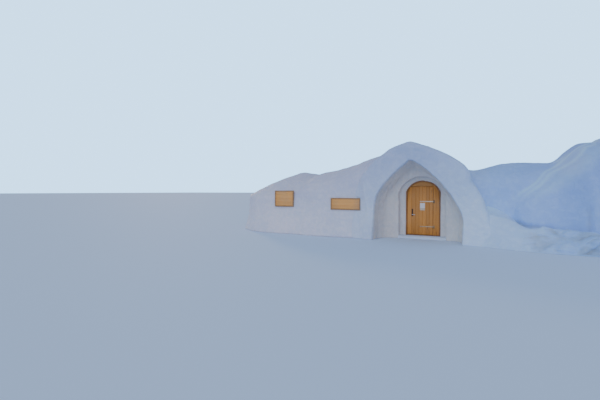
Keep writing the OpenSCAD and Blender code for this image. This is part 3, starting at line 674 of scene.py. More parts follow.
def drawn_gable(y):
    """The gable's outline at depth y, drawn in by the gable's table. Where the left
    pier fades into the wing the second table takes over, whose amounts below zero are
    shares of the way out to the apron."""
    fade = np.interp(y, OUTER_Y, OUTER_FADE) * leftness
    by = np.interp(y, OUTER_Y, OUTER_IN) * (1 - leftness) + np.maximum(fade, 0)
    out = np.maximum(-fade, 0)
    return ring(gable + inward * by[:, None] + (apron - gable) * out[:, None], y)


# How far back each column of the gable runs before it is inside the snow body
depth = np.full(columns, RUN_BACK)
for y in np.arange(RUN_BACK, -1.05, -0.02):
    spot = drawn_gable(y)
    sunk = body_height(spot[:, 0], np.full(columns, y) - 0.16) > spot[:, 2] + SUNK_BY
    depth = np.where(sunk & (depth <= y + 0.03), y, depth)

# Knots of the profile, each with the count of steps that lead to it
knots = [(ring(room_edge, HALL_FACE_Y), 1), (ring(doorway, HALL_FACE_Y), 5),
         (ring(doorway, EDGE_ROW_Y), 3), (ring(doorway, 0.0), 16), (ring(recess, 0.0), 5)]
far = niche + inward * 0.11
for share, y in NICHE_BACK:
    knots.append((ring(recess + (far - recess) * share, y), 7 if share == 0 else 6))
for y in (-0.72, -0.9, -1.06, -1.16, -1.23, -1.275, PORCH_Y):
    knots.append((drawn_niche(y), 4 if y > -1.1 else 2))
rim_in, rim_out = drawn_niche(PORCH_Y), drawn_gable(PORCH_Y)
for share in (0.06, 0.35, 0.65, 0.94, 1.0):
    knots.append((rim_in * (1 - share) + rim_out * share, 4))
for y in (-1.275, -1.23, -1.16, -1.06):
    knots.append((drawn_gable(y), 2))
for share in np.linspace(0, 1, 12)[1:]:
    knots.append((drawn_gable(np.maximum(depth, -1.0) * share - 1.06 * (1 - share)), 3))


def subdivide(knots):
    """Points on straight lines between knots, from the last round to the first."""
    rows = []
    for (one, _), (other, count) in zip(knots, knots[1:] + knots[:1]):
        rows += [one + (other - one) * k / count for k in range(count)]
    return np.stack(rows)


def solid(name, grids, wrapped=False, seed=None):
    """One mesh of closed tubes, each from a grid whose rows close on themselves. Its
    first and last columns are flat ends, or meet when it is wrapped. A seed gives each
    tube a random number in the attribute plank."""
    made = bpy.data.meshes.new(name)
    faces, start = [], 0
    for grid in grids:
        rows, cols = grid.shape[:2]
        ids = start + np.arange(rows * cols).reshape(rows, cols)
        start += rows * cols
        side = np.roll(ids, -1, 0)
        quads = np.stack([ids, side, np.roll(side, -1, 1), np.roll(ids, -1, 1)], -1)
        faces += (quads if wrapped else quads[:, :-1]).reshape(-1, 4).tolist()
        if not wrapped:
            faces += [ids[::-1, 0].tolist(), ids[:, -1].tolist()]
    points = np.concatenate([grid.reshape(-1, 3) for grid in grids])
    made.from_pydata(points.tolist(), [], faces)
    close_up(made)
    if seed is not None:
        draw = np.random.default_rng(seed).uniform(0, 1, len(grids))
        mark_points(made, "plank", np.repeat(draw, [grid[..., 0].size for grid in grids]))
    return made


profile = subdivide(knots)
for _ in range(2):
    profile = 0.25 * (np.roll(profile, 1, 0) + 2 * profile + np.roll(profile, -1, 0))
profile[:, 0, 2] = profile[:, -1, 2] = 0
entrance_mesh = solid("entrance", [profile])
spots, out_way = surface(entrance_mesh)
row = np.repeat(np.arange(len(profile)), columns)
relief = lumps(spots, (0.007, 1.1, 13), (0.004, 0.42, 14), (0.0018, 0.17, 15))
strokes = 0.0035 * ripple(spots * (1, 1, 0.35), 0.16, 16) * (
    (row > EDGE_ROW) & (row <= LAST_SAWN_ROW))
spots = spots + out_way * (relief + strokes)[:, None]
board_seat(spots, NAME_BOARD, NAME_BOARD_BED)
settle(entrance_mesh, spots, profile.reshape(-1, 3)[:, 2] < ON_GROUND)
# The cut faces of the recess and the niche get painted shade, which fades out at the rim
mark_points(entrance_mesh, "cut",
            np.interp(row, [EDGE_ROW, EDGE_ROW + 1, FADE_ROW, RIM_ROW], [0, 1, 1, 0]))
# Painted light across the porch: warm at the left, a bluer painted shade at the right
porch_snow = snow_material("porch_snow", [
    (0.25, (1.0, 0.91, 0.95)), (0.36, (0.94, 0.91, 0.97)), (0.5, (0.88, 0.90, 1.0)),
    (0.62, (0.93, 0.98, 1.08)), (0.72, (0.91, 0.99, 1.13))])
place(entrance_mesh, porch_snow, replaced=[
    "porch_left_pier", "porch_right_pier", "porch_left_crown", "porch_right_crown",
    "hall_front_left", "hall_front_right", "hall_front_head"])


# Door sill: a low step of pressed snow in the recess that carries the door frame. It is
# trodden down by hand. Made as one soft profile carried across the doorway.

SILL_HALF, SILL_TOP, SILL_BACK = 0.90, 0.12, 0.6
TREAD_SWING, TREAD_FROM = 0.010, 0.15
sill_line = np.array([(SILL_BACK, 0), (SILL_BACK, 0.10), (0.5, SILL_TOP), (0.2, SILL_TOP),
                      (0.0, SILL_TOP), (-0.08, 0.118), (-0.16, 0.11), (-0.22, 0.092),
                      (-0.26, 0.062), (-0.285, 0.03), (-0.30, 0)])
across = np.linspace(-SILL_HALF, SILL_HALF, 73)
sill_grid = point_grid(across[None], sill_line[:, :1], sill_line[:, 1:])
trodden = (lumps(sill_grid, (0.006, 0.35, 21)) + TREAD_SWING * np.cos(6 * across)[None]) * ease(
    -sill_grid[..., 1] / TREAD_FROM)
sill_grid[..., 1] -= np.abs(trodden)
sill_grid[..., 2] *= 1 + 2.0 * trodden
place(solid("sill_snow", [sill_grid]), porch_snow, replaced=["door_sill"])


# Snow bank: snow pushed up against the link and the dome's foot. The real one is what the
# shovels left, a smooth heap by the porch that turns lumpy and ledged to the right. Made
# as upright slices carried along the front, each closed inside the wall behind.

# Columns: place, height, crest y, foot y
BANK = np.array([
    [2.05, 1.12, -0.86, -1.30], [2.2, 1.10, -0.90, -1.33], [2.7, 1.00, -0.95, -1.60],
    [3.0, 0.92, -0.97, -1.75], [3.15, 0.82, -0.99, -1.79], [3.35, 0.70, -1.01, -1.83],
    [3.6, 0.66, -1.03, -1.88], [4.3, 0.67, -1.05, -1.93], [5.0, 0.64, -1.15, -1.94],
    [5.6, 0.56, -1.30, -1.98], [6.2, 0.38, -1.60, -2.02], [6.9, 0.08, -1.85, -2.04]])
DOME_FROM, INTO_WALL, BANK_LIMIT_Y = 5.2, 0.32, -2.09
# Shovel ledges: their height apart, how far it wanders, where a step turns back, its reach
LEDGE_GAP, LEDGE_WANDER, LEDGE_TURN, LEDGE_OUT = 0.21, 0.55, 0.75, 0.08
bank_x = np.linspace(BANK[0, 0], BANK[-1, 0], 200)
bank_h, bank_crest, bank_foot = smoothed(BANK, bank_x, 0.2, 0.07)
dome_front = DOME_Y - np.sqrt(np.maximum(DOME_R ** 2 - (bank_x - DOME_X) ** 2, 0))
link_front = section_values(np.minimum(bank_x, LINK_END))[3]
wall_front = np.where(bank_x < DOME_FROM, link_front, np.maximum(dome_front, bank_crest))
bank_back = wall_front + INTO_WALL
rise = 0.42 * (1 - ease((bank_x - 2.3) / 0.9)) + 0.04
trough = 0.28 * ease((bank_x - 2.9) / 0.4) * (1 - 0.7 * ease((bank_x - 3.4) / 1.6))
up = np.linspace(0, 1, 44)[:, None]
slope_y = bank_foot + (bank_crest - bank_foot) * up
slope_z = bank_h * np.sin(0.5 * np.pi * up) ** 1.3
on = np.linspace(0, 1, 26)[1:, None]
top_y = bank_crest + (bank_back - bank_crest) * on
top_z = bank_h + rise * on ** 2 - trough * np.sin(np.pi * np.minimum(1, 1.25 * on)) ** 2
bank_grid = point_grid(bank_x, np.concatenate([slope_y, top_y, bank_back[None]]),
                       np.concatenate([slope_z, top_z, 0 * bank_back[None]]))
# Ledges left by the shovels: saw-toothed steps whose height wanders along the bank
lumpy = ease((bank_grid[..., 0] - 3.1) / 0.9) * ease(bank_grid[..., 2] / 0.10)
wander = bank_grid[..., 2] / LEDGE_GAP + LEDGE_WANDER * ripple(bank_grid * (1, 0.4, 0.4), 1.6, 35)
tooth = wander % 1.0
step = np.where(tooth < LEDGE_TURN, tooth / LEDGE_TURN, (1 - tooth) / (1 - LEDGE_TURN)) * (
    bank_grid[..., 1] < -0.6)
step *= ease(0.5 + 0.6 * ripple(bank_grid, 0.9, 36))
blocks = ripple(bank_grid * (1, 1, 1.5), 0.55, 31)
bank_grid[..., 1] += lumpy * (LEDGE_OUT * step - 0.05 * blocks
                              - 0.012 * ripple(bank_grid * (1, 1, 1.6), 0.22, 32) - 0.03)
bank_grid[..., 2] += lumpy * (0.030 * blocks + 0.010 * ripple(bank_grid, 0.22, 34))
bank_grid[..., 1] = np.maximum(bank_grid[..., 1], BANK_LIMIT_Y)
bank_grid[..., 2] = np.maximum(bank_grid[..., 2], 0)
bank_mesh = solid("snow_bank", [bank_grid])
# Painted shade under the shovel ledges and in the dips between blocks
mark_points(bank_mesh, "hollow", lumpy * (0.6 * ease(step) ** 3 + 0.5 * ease(-blocks)))
mark_points(bank_mesh, "fresh", 0.7 * ease((bank_grid[..., 2] - 0.85) / 0.6))
# Painted blue shade on the bank that deepens towards the dome
pushed_snow = snow_material("pushed_snow", [
    (0.67, (0.88, 0.96, 1.06)), (0.72, (0.80, 0.90, 1.08)), (0.8, (0.72, 0.86, 1.09)),
    (0.9, (0.60, 0.77, 1.05)), (1.0, (0.53, 0.70, 1.0))])
place(bank_mesh, pushed_snow, replaced=["link_bank"])


# Door frame: two upright posts joined by a bent head, planed from pine and stained dark,
# bedded in the snow. Made as a moulded section carried round the opening, with a stop
# batten on the lock side and a worn threshold board.

# Width, radius of the head and height of the crown of the opening in the frame
OPENING = (1.2, 0.647, 2.218)
OPENING_HALF = 0.5 * OPENING[0]
FRAME_FACE, FRAME_Y, FRAME_BACK = 0.055, -0.02, 0.12
THRESHOLD_Z = 0.15
STOP_WIDTH, STOP_Y, STOP_TOP = 0.022, 0.056, 1.80


def arch_top(x, gap=0.0):
    """Height of the opening's round head over x, less a gap."""
    _, radius, crown = OPENING
    return crown - radius + np.sqrt(np.maximum((radius - gap) ** 2 - x * x, 0))


def plank(low, high, y0, y1, ends, chamfer=0.004, steps=8, flat=False):
    """A plank from edge low to edge high and from depth y0 to y1: a section with eased
    corners carried from one end to the other. ends gives where it starts and stops at
    each place across. It stands upright, or lies along X when flat."""
    run = np.linspace(low + chamfer, high - chamfer, steps)
    loop = np.array([(low, y0 + chamfer), *zip(run, np.full(steps, y0)),
                     (high, y0 + chamfer), (high, y1 - chamfer),
                     *zip(run[::-1], np.full(steps, y1)), (low, y1 - chamfer)])
    middle = np.array([0.5 * (low + high), 0.5 * (y0 + y1)])
    small = (loop - middle) * (1 - chamfer / (0.5 * np.array([high - low, y1 - y0]))) + middle
    start, stop = ends(loop[:, 0])
    columns = []
    for spot, face in ((start, small), (start + chamfer, loop),
                       (start + (stop - start) * 0.33, loop),
                       (start + (stop - start) * 0.66, loop),
                       (stop - chamfer, loop), (stop, small)):
        across, y = face.T
        columns.append(point_grid(spot, y, across) if flat else point_grid(across, y, spot))
    return np.stack(columns, 1)


def level(start, stop):
    """Ends of a plank that is sawn square."""
    return lambda across: (np.full_like(across, start), np.full_like(across, stop))


# Timber, as a shared effect: grain that runs along the plank, growth rings and knots
wood_grain, given = node_group("wood_grain", [("Place", "Vector", None), ("Plank", "Float", 0.0),
                                              ("Knots", "Float", 1.0)],
                               ["Tone", "Knot", "Height"])
shift = wire(wood_grain, "CombineXYZ", {k: times(wood_grain, given["Plank"], by)
                                        for k, by in enumerate((17.0, 5.0, 3.1))})
spot = wire(wood_grain, "VectorMath", {0: given["Place"], 1: shift.outputs[0]},
            operation="ADD").outputs[0]
bend = noise(wood_grain, spot, 2.2, 2.0)
streak = noise(wood_grain, spot, 26.0, 5.0, 0.7)
from_knot = cells(wood_grain, spot, 1.3)["Distance"]
knot = times(wood_grain, stretch(wood_grain, from_knot, 0.03, 0.13, 1.0, 0.0, "SMOOTHSTEP"),
             given["Knots"])
rings = wire(wood_grain, "TexWave", {
    "Vector": spot, "Scale": 3.4, "Distortion": 5.0, "Detail": 3.0, "Detail Scale": 1.2,
    "Detail Roughness": 0.6, "Phase Offset": stretch(wood_grain, from_knot, 0.0, 0.5, 1.6, 0.0)},
    bands_direction="X", wave_profile="SAW").outputs["Fac"]
tone = plus(wood_grain, times(wood_grain, rings, 0.42), times(wood_grain, streak, 0.42))
tone = plus(wood_grain, tone, times(wood_grain, bend, 0.28))
wire(wood_grain, "NodeGroupOutput", {"Tone": tone, "Knot": knot, "Height": tone})

GREYED = (0.30, 0.26, 0.22)
# How the grain runs: close together across a plank and drawn out along it
UPRIGHT = {"Scale": (9.0, 9.0, 0.8), "Rotation": (0, 0, 0)}
LYING = {"Scale": (0.8, 9.0, 9.0), "Rotation": (0, 0.5 * np.pi, 0)}


def wood_material(name, run, dark, light, knot_colour, weather, knots=1.0, varied=0.18):
    """Planed pine with a clear oil: grain drawn out along the planks, knots, and a
    tone of its own for every plank. weather greys it in soft patches."""
    material, tree, shader = new_material(name)
    where = object_place(tree)
    drawn_out = wire(tree, "Mapping", {"Vector": where, **run})
    own = wire(tree, "Attribute", attribute_name="plank").outputs["Fac"]
    wood = wire(tree, "Group", {"Place": drawn_out.outputs[0], "Plank": own, "Knots": knots},
                node_tree=wood_grain).outputs
    colour = ramp(tree, wood["Tone"], [(0.25, dark), (0.8, light)])
    shade = stretch(tree, own, 0.0, 1.0, 1.0 - varied, 1.0 + varied)
    shade = wire(tree, "CombineColor", {0: shade, 1: shade, 2: shade}).outputs[0]
    colour = mix(tree, 1.0, colour, shade, "MULTIPLY")
    colour = mix(tree, wood["Knot"], colour, knot_colour)
    worn = stretch(tree, noise(tree, where, 1.9, 5.0), 0.45, 0.75, 0.0, weather)
    colour = mix(tree, worn, colour, GREYED)
    dress(tree, shader, colour, stretch(tree, wood["Tone"], 0.2, 0.9, 0.62, 0.42),
          wood["Height"], 0.002, 0.6)
    return material


stained_frame = wood_material("stained_frame", UPRIGHT, (0.17, 0.062, 0.018),
                              (0.38, 0.165, 0.048), (0.05, 0.02, 0.008), 0.25, 0.3)

# The frame's moulding, as offsets from the opening and depths
MOULDING = np.array([(0, 0.12), (0, -0.012), (0.004, -0.018), (0.010, FRAME_Y),
                     (0.020, FRAME_Y), (0.023, -0.016), (0.027, -0.016), (0.030, FRAME_Y),
                     (0.046, FRAME_Y), (0.052, -0.017), (FRAME_FACE, -0.010),
                     (FRAME_FACE, FRAME_BACK)])


def opening_pushed_out(offset):
    """Columns of the opening pushed out by an offset, whose sides start on the sill."""
    width, radius, crown = OPENING
    half, r = 0.5 * width + offset, radius + offset
    start = np.arcsin(half / r)
    turn = np.linspace(start, -start, 61)
    arc = np.stack([-r * np.sin(turn), crown - radius + r * np.cos(turn)], -1)
    foot = np.array([-half, SILL_TOP])
    left = foot + np.linspace(0, 1, 9)[:-1, None] * ((-half, arc[0, 1]) - foot)
    return np.concatenate([left, arc, left[::-1] * (-1, 1)])


def add_piece(name, grids, seed, material, body="igloo", replaced=(), wrapped=False):
    """A solid that is placed as a piece."""
    place(solid(name, grids, wrapped, seed), material, body, replaced)


frame_grid = np.stack([ring(opening_pushed_out(offset), y) for offset, y in MOULDING])
add_piece("door_frame", [frame_grid], 41, stained_frame,
          replaced=["frame_left_jamb", "frame_right_jamb", "frame_arch"])
add_piece("door_stop", [
    plank(-OPENING_HALF, STOP_WIDTH - OPENING_HALF, STOP_Y, FRAME_BACK,
          level(THRESHOLD_Z, STOP_TOP), 0.003)],
    42, stained_frame)
threshold_wood = wood_material("threshold_wood", LYING, (0.13, 0.05, 0.016),
                               (0.34, 0.16, 0.055), (0.06, 0.025, 0.01), 0.55, 0.4)
add_piece("threshold_board", [
    plank(SILL_TOP, THRESHOLD_Z, FRAME_Y, FRAME_BACK, level(-OPENING_HALF, OPENING_HALF),
          0.006, 12, True)],
    43, threshold_wood, replaced=["threshold"])


# Fixed boards: a plank that fills the arch over the door with a stop behind it, and two
# upright planks on the hinge side. Planed pine, nailed to the frame.

SEAM_X, SEAM_Z, PANEL_T, SAW_GAP = 0.385, 2.045, 0.05, 0.001
HEAD_LEFT, SIDE_JOINT = -0.434, 0.492
HEAD_STOP_Z, HEAD_STOP_Y, HEAD_STOP_X = (2.013, 2.075), (0.051, 0.084), (-0.38, 0.375)
door_pine = wood_material("door_pine", UPRIGHT, (0.50, 0.170, 0.028), (0.78, 0.320, 0.056),
                          (0.20, 0.075, 0.020), 0.10, 1.0, 0.12)
transom_pine = wood_material("transom_pine", LYING, (0.42, 0.150, 0.022),
                             (0.76, 0.33, 0.070), (0.16, 0.060, 0.018), 0.10)


def up_to_arch(foot):
    """Ends of an upright plank that stands on foot and is cut to the arch."""
    return lambda x: (np.full_like(x, foot), arch_top(x, SAW_GAP))


add_piece("transom_board", [
    plank(HEAD_LEFT, SEAM_X - SAW_GAP, 0, PANEL_T, up_to_arch(SEAM_Z), 0.003, 26),
    plank(*HEAD_STOP_Z, *HEAD_STOP_Y, level(*HEAD_STOP_X), 0.003, 4, True)],
    44, transom_pine, replaced=["head_panel"])
add_piece("side_boards", [
    plank(SEAM_X, SIDE_JOINT, 0, PANEL_T, up_to_arch(THRESHOLD_Z)),
    plank(SIDE_JOINT + SAW_GAP, OPENING_HALF - SAW_GAP, 0, PANEL_T, up_to_arch(THRESHOLD_Z))],
    45, door_pine, replaced=["side_panel"])


# Door leaf: seven upright pine boards with V joints, cut to the arch and held by three
# ledges screwed on behind.

LEAF_LEFT, LEAF_RIGHT, LEAF_LOW, LEAF_TOP, LEAF_GAP = -0.594, 0.375, 0.158, 2.035, 0.006
BOARD_T, LEAF_BACK, HALF_JOINT = 0.03, 0.05, 0.0006
LEAF_JOINTS = [LEAF_LEFT, -0.432, -0.270, -0.140, -0.012, 0.118, 0.246, LEAF_RIGHT]
LEDGE_FEET, LEDGE_HEIGHT, LEDGE_LEFT, LEDGE_RIGHT = (0.30, 1.00, 1.65), 0.14, -0.554, 0.335
# The ledges' ends keep clear of the frame's head by following a circle of this radius,
# whose centre is at this height
LEDGE_CIRCLE_R, LEDGE_CIRCLE_Z = 0.601, 1.571


def leaf_ends(x):
    """Bottom and top of a leaf board at each place across it."""
    return np.full_like(x, LEAF_LOW), np.minimum(LEAF_TOP, arch_top(x, LEAF_GAP))


def ledge(foot):
    """A ledge whose left end stops short of the frame's head."""
    over = max(0, foot + LEDGE_HEIGHT - LEDGE_CIRCLE_Z)
    left = max(LEDGE_LEFT, -np.sqrt(LEDGE_CIRCLE_R ** 2 - over ** 2))
    return plank(foot, foot + LEDGE_HEIGHT, BOARD_T, LEAF_BACK, level(left, LEDGE_RIGHT),
                 0.005, 6, True)


add_piece("door_boards", [
    plank(low + HALF_JOINT, high - HALF_JOINT, 0, BOARD_T, leaf_ends, 0.006, 10)
    for low, high in zip(LEAF_JOINTS[:-1], LEAF_JOINTS[1:])],
    46, door_pine, "door", ["door_leaf"])
add_piece("door_ledges", [ledge(foot) for foot in LEDGE_FEET], 47, transom_pine,
          "door", ["leaf_ledges"])


# Hinges: forged strap hinges, galvanised. Each tapered strap is bolted across the boards
# and rolled round a pin that stands on a plate beside the leaf.

HINGE_X, HINGE_Y, EYE_R, BORE_R, PIN_R, EYE_HALF = 0.380, -0.015, 0.011, 0.0063, 0.006, 0.02
STRAP_HEIGHTS, STRAP_T = (0.473, 1.451), 0.005
STRAP_BOLTS, STRAP_BOLT_R, PIN_BOLT_R = (0.335, 0.20, 0.07, -0.055), 0.0085, 0.006
# Half widths of a strap along X, from the eye to its pointed end
STRAP_EDGE = np.array([(0.3695, 0.020), (0.30, 0.0195), (0.18, 0.0178), (0.04, 0.0158),
                       (-0.070, 0.0145), (-0.084, 0.0150), (-0.092, 0.0185),
                       (-0.102, 0.0185), (-0.111, 0.0140), (-0.117, 0.0075),
                       (-0.120, 0.0010)])
# Below each eye a collar carries it; the pin goes through both, from foot to tip
COLLAR_FOOT, COLLAR_TOP, PIN_FOOT, PIN_TIP = -0.046, -0.022, -0.030, 0.024
PIN_PLATE_RIGHT, PIN_PLATE_HALF, PIN_BOLT_X, PIN_BOLT_RISE = 0.445, 0.056, 0.428, 0.040
SUNK = 0.001


def revolved(x, y, z, stations, sides=24, axis="z"):
    """A turned part about an upright axis, or one that points out of the door: each
    station gives a radius and a place along the axis."""
    turn = np.linspace(0, 2 * np.pi, sides, endpoint=False)[:, None]
    r, run = np.array(stations).T
    if axis == "z":
        return point_grid(x + r * np.cos(turn), y + r * np.sin(turn), z + run)
    return point_grid(x + r * np.cos(turn), y - run, z + r * np.sin(turn))


def flat_iron(outline, y_back, y_front, chamfer=0.0012):
    """A plate cut to an outline of X and Z places, with its front edge eased."""
    outline = np.array(outline, float)
    middle = 0.5 * (outline.min(0) + outline.max(0))
    half = 0.5 * (outline.max(0) - outline.min(0))
    small = (outline - middle) * (1 - chamfer / half) + middle
    return np.stack([ring(outline, y_back), ring(outline, y_front + chamfer),
                     ring(small, y_front)], 1)


def rounded_outline(x0, x1, z0, z1, r, steps=6):
    """Corner points of a rectangle with rounded corners."""
    turn = np.linspace(0, 0.5 * np.pi, steps)
    corners = ((x1 - r, z1 - r), (x0 + r, z1 - r), (x0 + r, z0 + r), (x1 - r, z0 + r))
    return np.concatenate([np.stack([x + r * np.cos(turn + k * 0.5 * np.pi),
                                     z + r * np.sin(turn + k * 0.5 * np.pi)], -1)
                           for k, (x, z) in enumerate(corners)])


def dome_head(x, y, z, r, h):
    """A domed bolt head on the face at depth y."""
    lift = 0.5 * np.pi * np.linspace(0, 0.97, 6)
    return revolved(x, y, z, [(r, -SUNK), *zip(r * np.cos(lift), h * np.sin(lift))], 14, "y")


# Zinc-coated and blackened steel, as a shared effect: spangle, scratches and dull spots
worn_metal, given = node_group("worn_metal", [("Spangle", "Float", 1.0)],
                               ["Tone", "Dull", "Height"])
where = object_place(worn_metal)
spangle = parts(worn_metal, "Color", cells(worn_metal, where, 110.0)["Color"])[0]
spangle = times(worn_metal, spangle, given["Spangle"])
smear = noise(worn_metal, where, 24.0, 5.0, 0.65)
tone = plus(worn_metal, times(worn_metal, spangle, 0.35), smear)
dull = stretch(worn_metal, smear, 0.35, 0.7, 0.38, 0.62)
wire(worn_metal, "NodeGroupOutput", {"Tone": tone, "Dull": dull, "Height": smear})

DIRT_FILM = (0.34, 0.21, 0.10)


def metal_material(name, dark, light, spangle):
    """Bare metal whose tone and roughness drift from spot to spot, under a brown film
    of dirt that thickens towards the ground."""
    material, tree, shader = new_material(name)
    metal = wire(tree, "Group", {"Spangle": spangle}, node_tree=worn_metal).outputs
    film = stretch(tree, parts(tree, "XYZ", object_place(tree))[2], 0.4, 0.9, 0.7, 0.0)
    colour = ramp(tree, metal["Tone"], [(0.3, dark), (0.85, light)])
    colour = mix(tree, film, colour, DIRT_FILM)
    dress(tree, shader, colour, metal["Dull"], metal["Height"], 0.0006, 0.5)
    shader.inputs["Metallic"].default_value = 0.85
    return material


zinc = metal_material("zinc_steel", (0.56, 0.42, 0.30), (0.84, 0.67, 0.51), 1.0)
old_zinc = metal_material("old_zinc_steel", (0.12, 0.08, 0.05), (0.30, 0.21, 0.13), 0.8)
black_iron = metal_material("black_iron", (0.050, 0.024, 0.016), (0.14, 0.070, 0.048), 0.2)

strap_grids, pin_grids, eye_grids = [], [], []
for z in STRAP_HEIGHTS:
    outline = np.concatenate([STRAP_EDGE, (STRAP_EDGE * (1, -1))[::-1]]) + (0, z)
    strap_grids.append(flat_iron(outline, 0.0, -STRAP_T))
    strap_grids += [dome_head(x, -STRAP_T, z, STRAP_BOLT_R, 0.005) for x in STRAP_BOLTS]
    strap_grids.append(flat_iron(rounded_outline(0.3545, 0.3715, z - EYE_HALF, z + EYE_HALF, 0.002),
                                 -SUNK, -0.0165))
    low, high = z + COLLAR_FOOT, z + COLLAR_TOP
    pin_grids.append(revolved(HINGE_X, HINGE_Y, 0, [
        (EYE_R - 0.001, low), (EYE_R, low + 0.001), (EYE_R, high - 0.001), (EYE_R - 0.001, high)]))
    pin_grids.append(revolved(HINGE_X, HINGE_Y, z, [
        (PIN_R, PIN_FOOT), (PIN_R, 0.021), (0.8 * PIN_R, 0.0232), (0.3 * PIN_R, PIN_TIP)]))
    pin_grids.append(flat_iron(rounded_outline(SEAM_X, PIN_PLATE_RIGHT, z - PIN_PLATE_HALF,
                                               z + PIN_PLATE_HALF, 0.008), 0.0, -STRAP_T))
    pin_grids.append(flat_iron(rounded_outline(0.382, 0.405, z - 0.0455, z - 0.0225, 0.002),
                               -SUNK, -0.0255))
    pin_grids += [dome_head(PIN_BOLT_X, -STRAP_T, z + rise, PIN_BOLT_R, 0.0035)
                  for rise in (PIN_BOLT_RISE, -PIN_BOLT_RISE, 0.0)]
    eye_grids.append(revolved(HINGE_X, HINGE_Y, z, [
        (BORE_R, -EYE_HALF), (BORE_R, EYE_HALF), (BORE_R + 0.001, EYE_HALF),
        (EYE_R - 0.001, EYE_HALF), (EYE_R, EYE_HALF - 0.001), (EYE_R, 0.001 - EYE_HALF),
        (EYE_R - 0.001, -EYE_HALF), (BORE_R + 0.001, -EYE_HALF)]))
add_piece("strap_hinges", strap_grids, 48, zinc, "door", ["hinge_straps"])
add_piece("hinge_eyes", eye_grids, 49, zinc, "door", wrapped=True)
add_piece("hinge_pins", pin_grids, 50, old_zinc, replaced=["hinge_pintles"])


# Lock: a blackened plate screwed to the lock-side board, with a bent lever of bright
# steel. The lever is a round bar carried along its bend.

LOCK_X, LOCK_Z, LOCK_T = -0.400, 0.930, 0.006
PLATE_LOW, PLATE_HIGH, PLATE_HALF, KEYHOLE_Z = 0.870, 1.160, 0.030, 1.075
LEVER_END, LEVER_Y, LEVER_BEND, LEVER_DROP = -0.281, -0.050, 0.014, 0.004
add_piece("lock_face", [
    flat_iron(rounded_outline(LOCK_X - PLATE_HALF, LOCK_X + PLATE_HALF, PLATE_LOW, PLATE_HIGH, 0.012),
              0.0, -LOCK_T, 0.002),
    *(dome_head(LOCK_X, -LOCK_T, z, 0.005, 0.0025) for z in (PLATE_LOW + 0.016, PLATE_HIGH - 0.016)),
    revolved(LOCK_X, -LOCK_T, KEYHOLE_Z, [
        (0.0145, -SUNK), (0.0145, 0.004), (0.0130, 0.0055), (0.0088, 0.0055),
        (0.0083, 0.0035), (0.002, 0.0035)], 20, "y")],
    51, black_iron, "door", ["lock_plate"])


def bar(path, radii, sides=16):
    """A bar of varying round section carried along a path; its ends are flat."""
    way = np.gradient(path, axis=0)
    way /= np.linalg.norm(way, axis=1)[:, None]
    side = np.cross(way, (0, 0, 1.0))
    side /= np.linalg.norm(side, axis=1)[:, None]
    turn = np.linspace(0, 2 * np.pi, sides, endpoint=False)[:, None, None]
    r = radii[None, :, None]
    return path + r * (np.cos(turn) * side + np.sin(turn) * np.cross(side, way))


bend = np.linspace(0, 0.5 * np.pi, 8)
along = np.linspace(0, 1, 12)
lever_path = np.concatenate([
    point_grid(LOCK_X, np.array([-0.005, -0.020, -0.034]), LOCK_Z),
    point_grid(LOCK_X + LEVER_BEND * (1 - np.cos(bend)), LEVER_Y + LEVER_BEND * (1 - np.sin(bend)), LOCK_Z),
    point_grid(np.linspace(LOCK_X + 0.022, LEVER_END, 12), LEVER_Y, LOCK_Z - LEVER_DROP * along ** 2)])
lever_r = np.interp(np.linspace(0, 1, len(lever_path)), [0, 0.1, 0.4, 0.93, 1],
                    [0.0105, 0.0095, 0.0090, 0.0098, 0.0060])
bright = metal_material("bright_steel", (0.62, 0.62, 0.62), (0.86, 0.86, 0.85), 0.15)
add_piece("lever_handle", [
    bar(lever_path, lever_r),
    revolved(LOCK_X, -LOCK_T, LOCK_Z, [(0.019, -SUNK), (0.019, 0.003), (0.0172, 0.0055),
                                       (0.0130, 0.0065), (0.0105, 0.0065)], 24, "y")],
    52, bright, "door", ["door_handle"])


# Notice: a sheet of paper pinned to the boards, white with a buff lower part, left bare.
# Its lower corners have curled a little off the wood.

SHEET_LEFT, SHEET_RIGHT, SHEET_LOW, SHEET_HIGH = -0.110, 0.075, 1.105, 1.390
SHEET_FACE, SHEET_BACK, SHEET_CURL, PIN_INSET = -0.0022, -0.0008, 0.0016, 0.012
SHEET_WHITE = ((0.80, 0.70, 0.65), (0.92, 0.83, 0.78))
SHEET_BUFF, SHEET_STAIN, BUFF_TOP = (0.66, 0.52, 0.38), (0.62, 0.58, 0.50), 1.203


def sheet_grid():
    """A thin plate whose face bows out from the boards: the depth grows with the
    square of the distance from the pins at the top, most at the two lower corners."""
    grid = plank(SHEET_LEFT, SHEET_RIGHT, SHEET_FACE, SHEET_BACK, level(SHEET_LOW, SHEET_HIGH),
                 0.0004, 14)
    finer = np.linspace(0, grid.shape[1] - 1, 24)
    low = np.minimum(finer.astype(int), grid.shape[1] - 2)
    grid = grid[:, low] + (grid[:, low + 1] - grid[:, low]) * (finer - low)[None, :, None]
    across = 2 * (grid[..., 0] - SHEET_LEFT) / (SHEET_RIGHT - SHEET_LEFT) - 1
    down = (SHEET_HIGH - grid[..., 2]) / (SHEET_HIGH - SHEET_LOW)
    grid[..., 1] -= SHEET_CURL * down ** 2 * across ** 2
    return grid


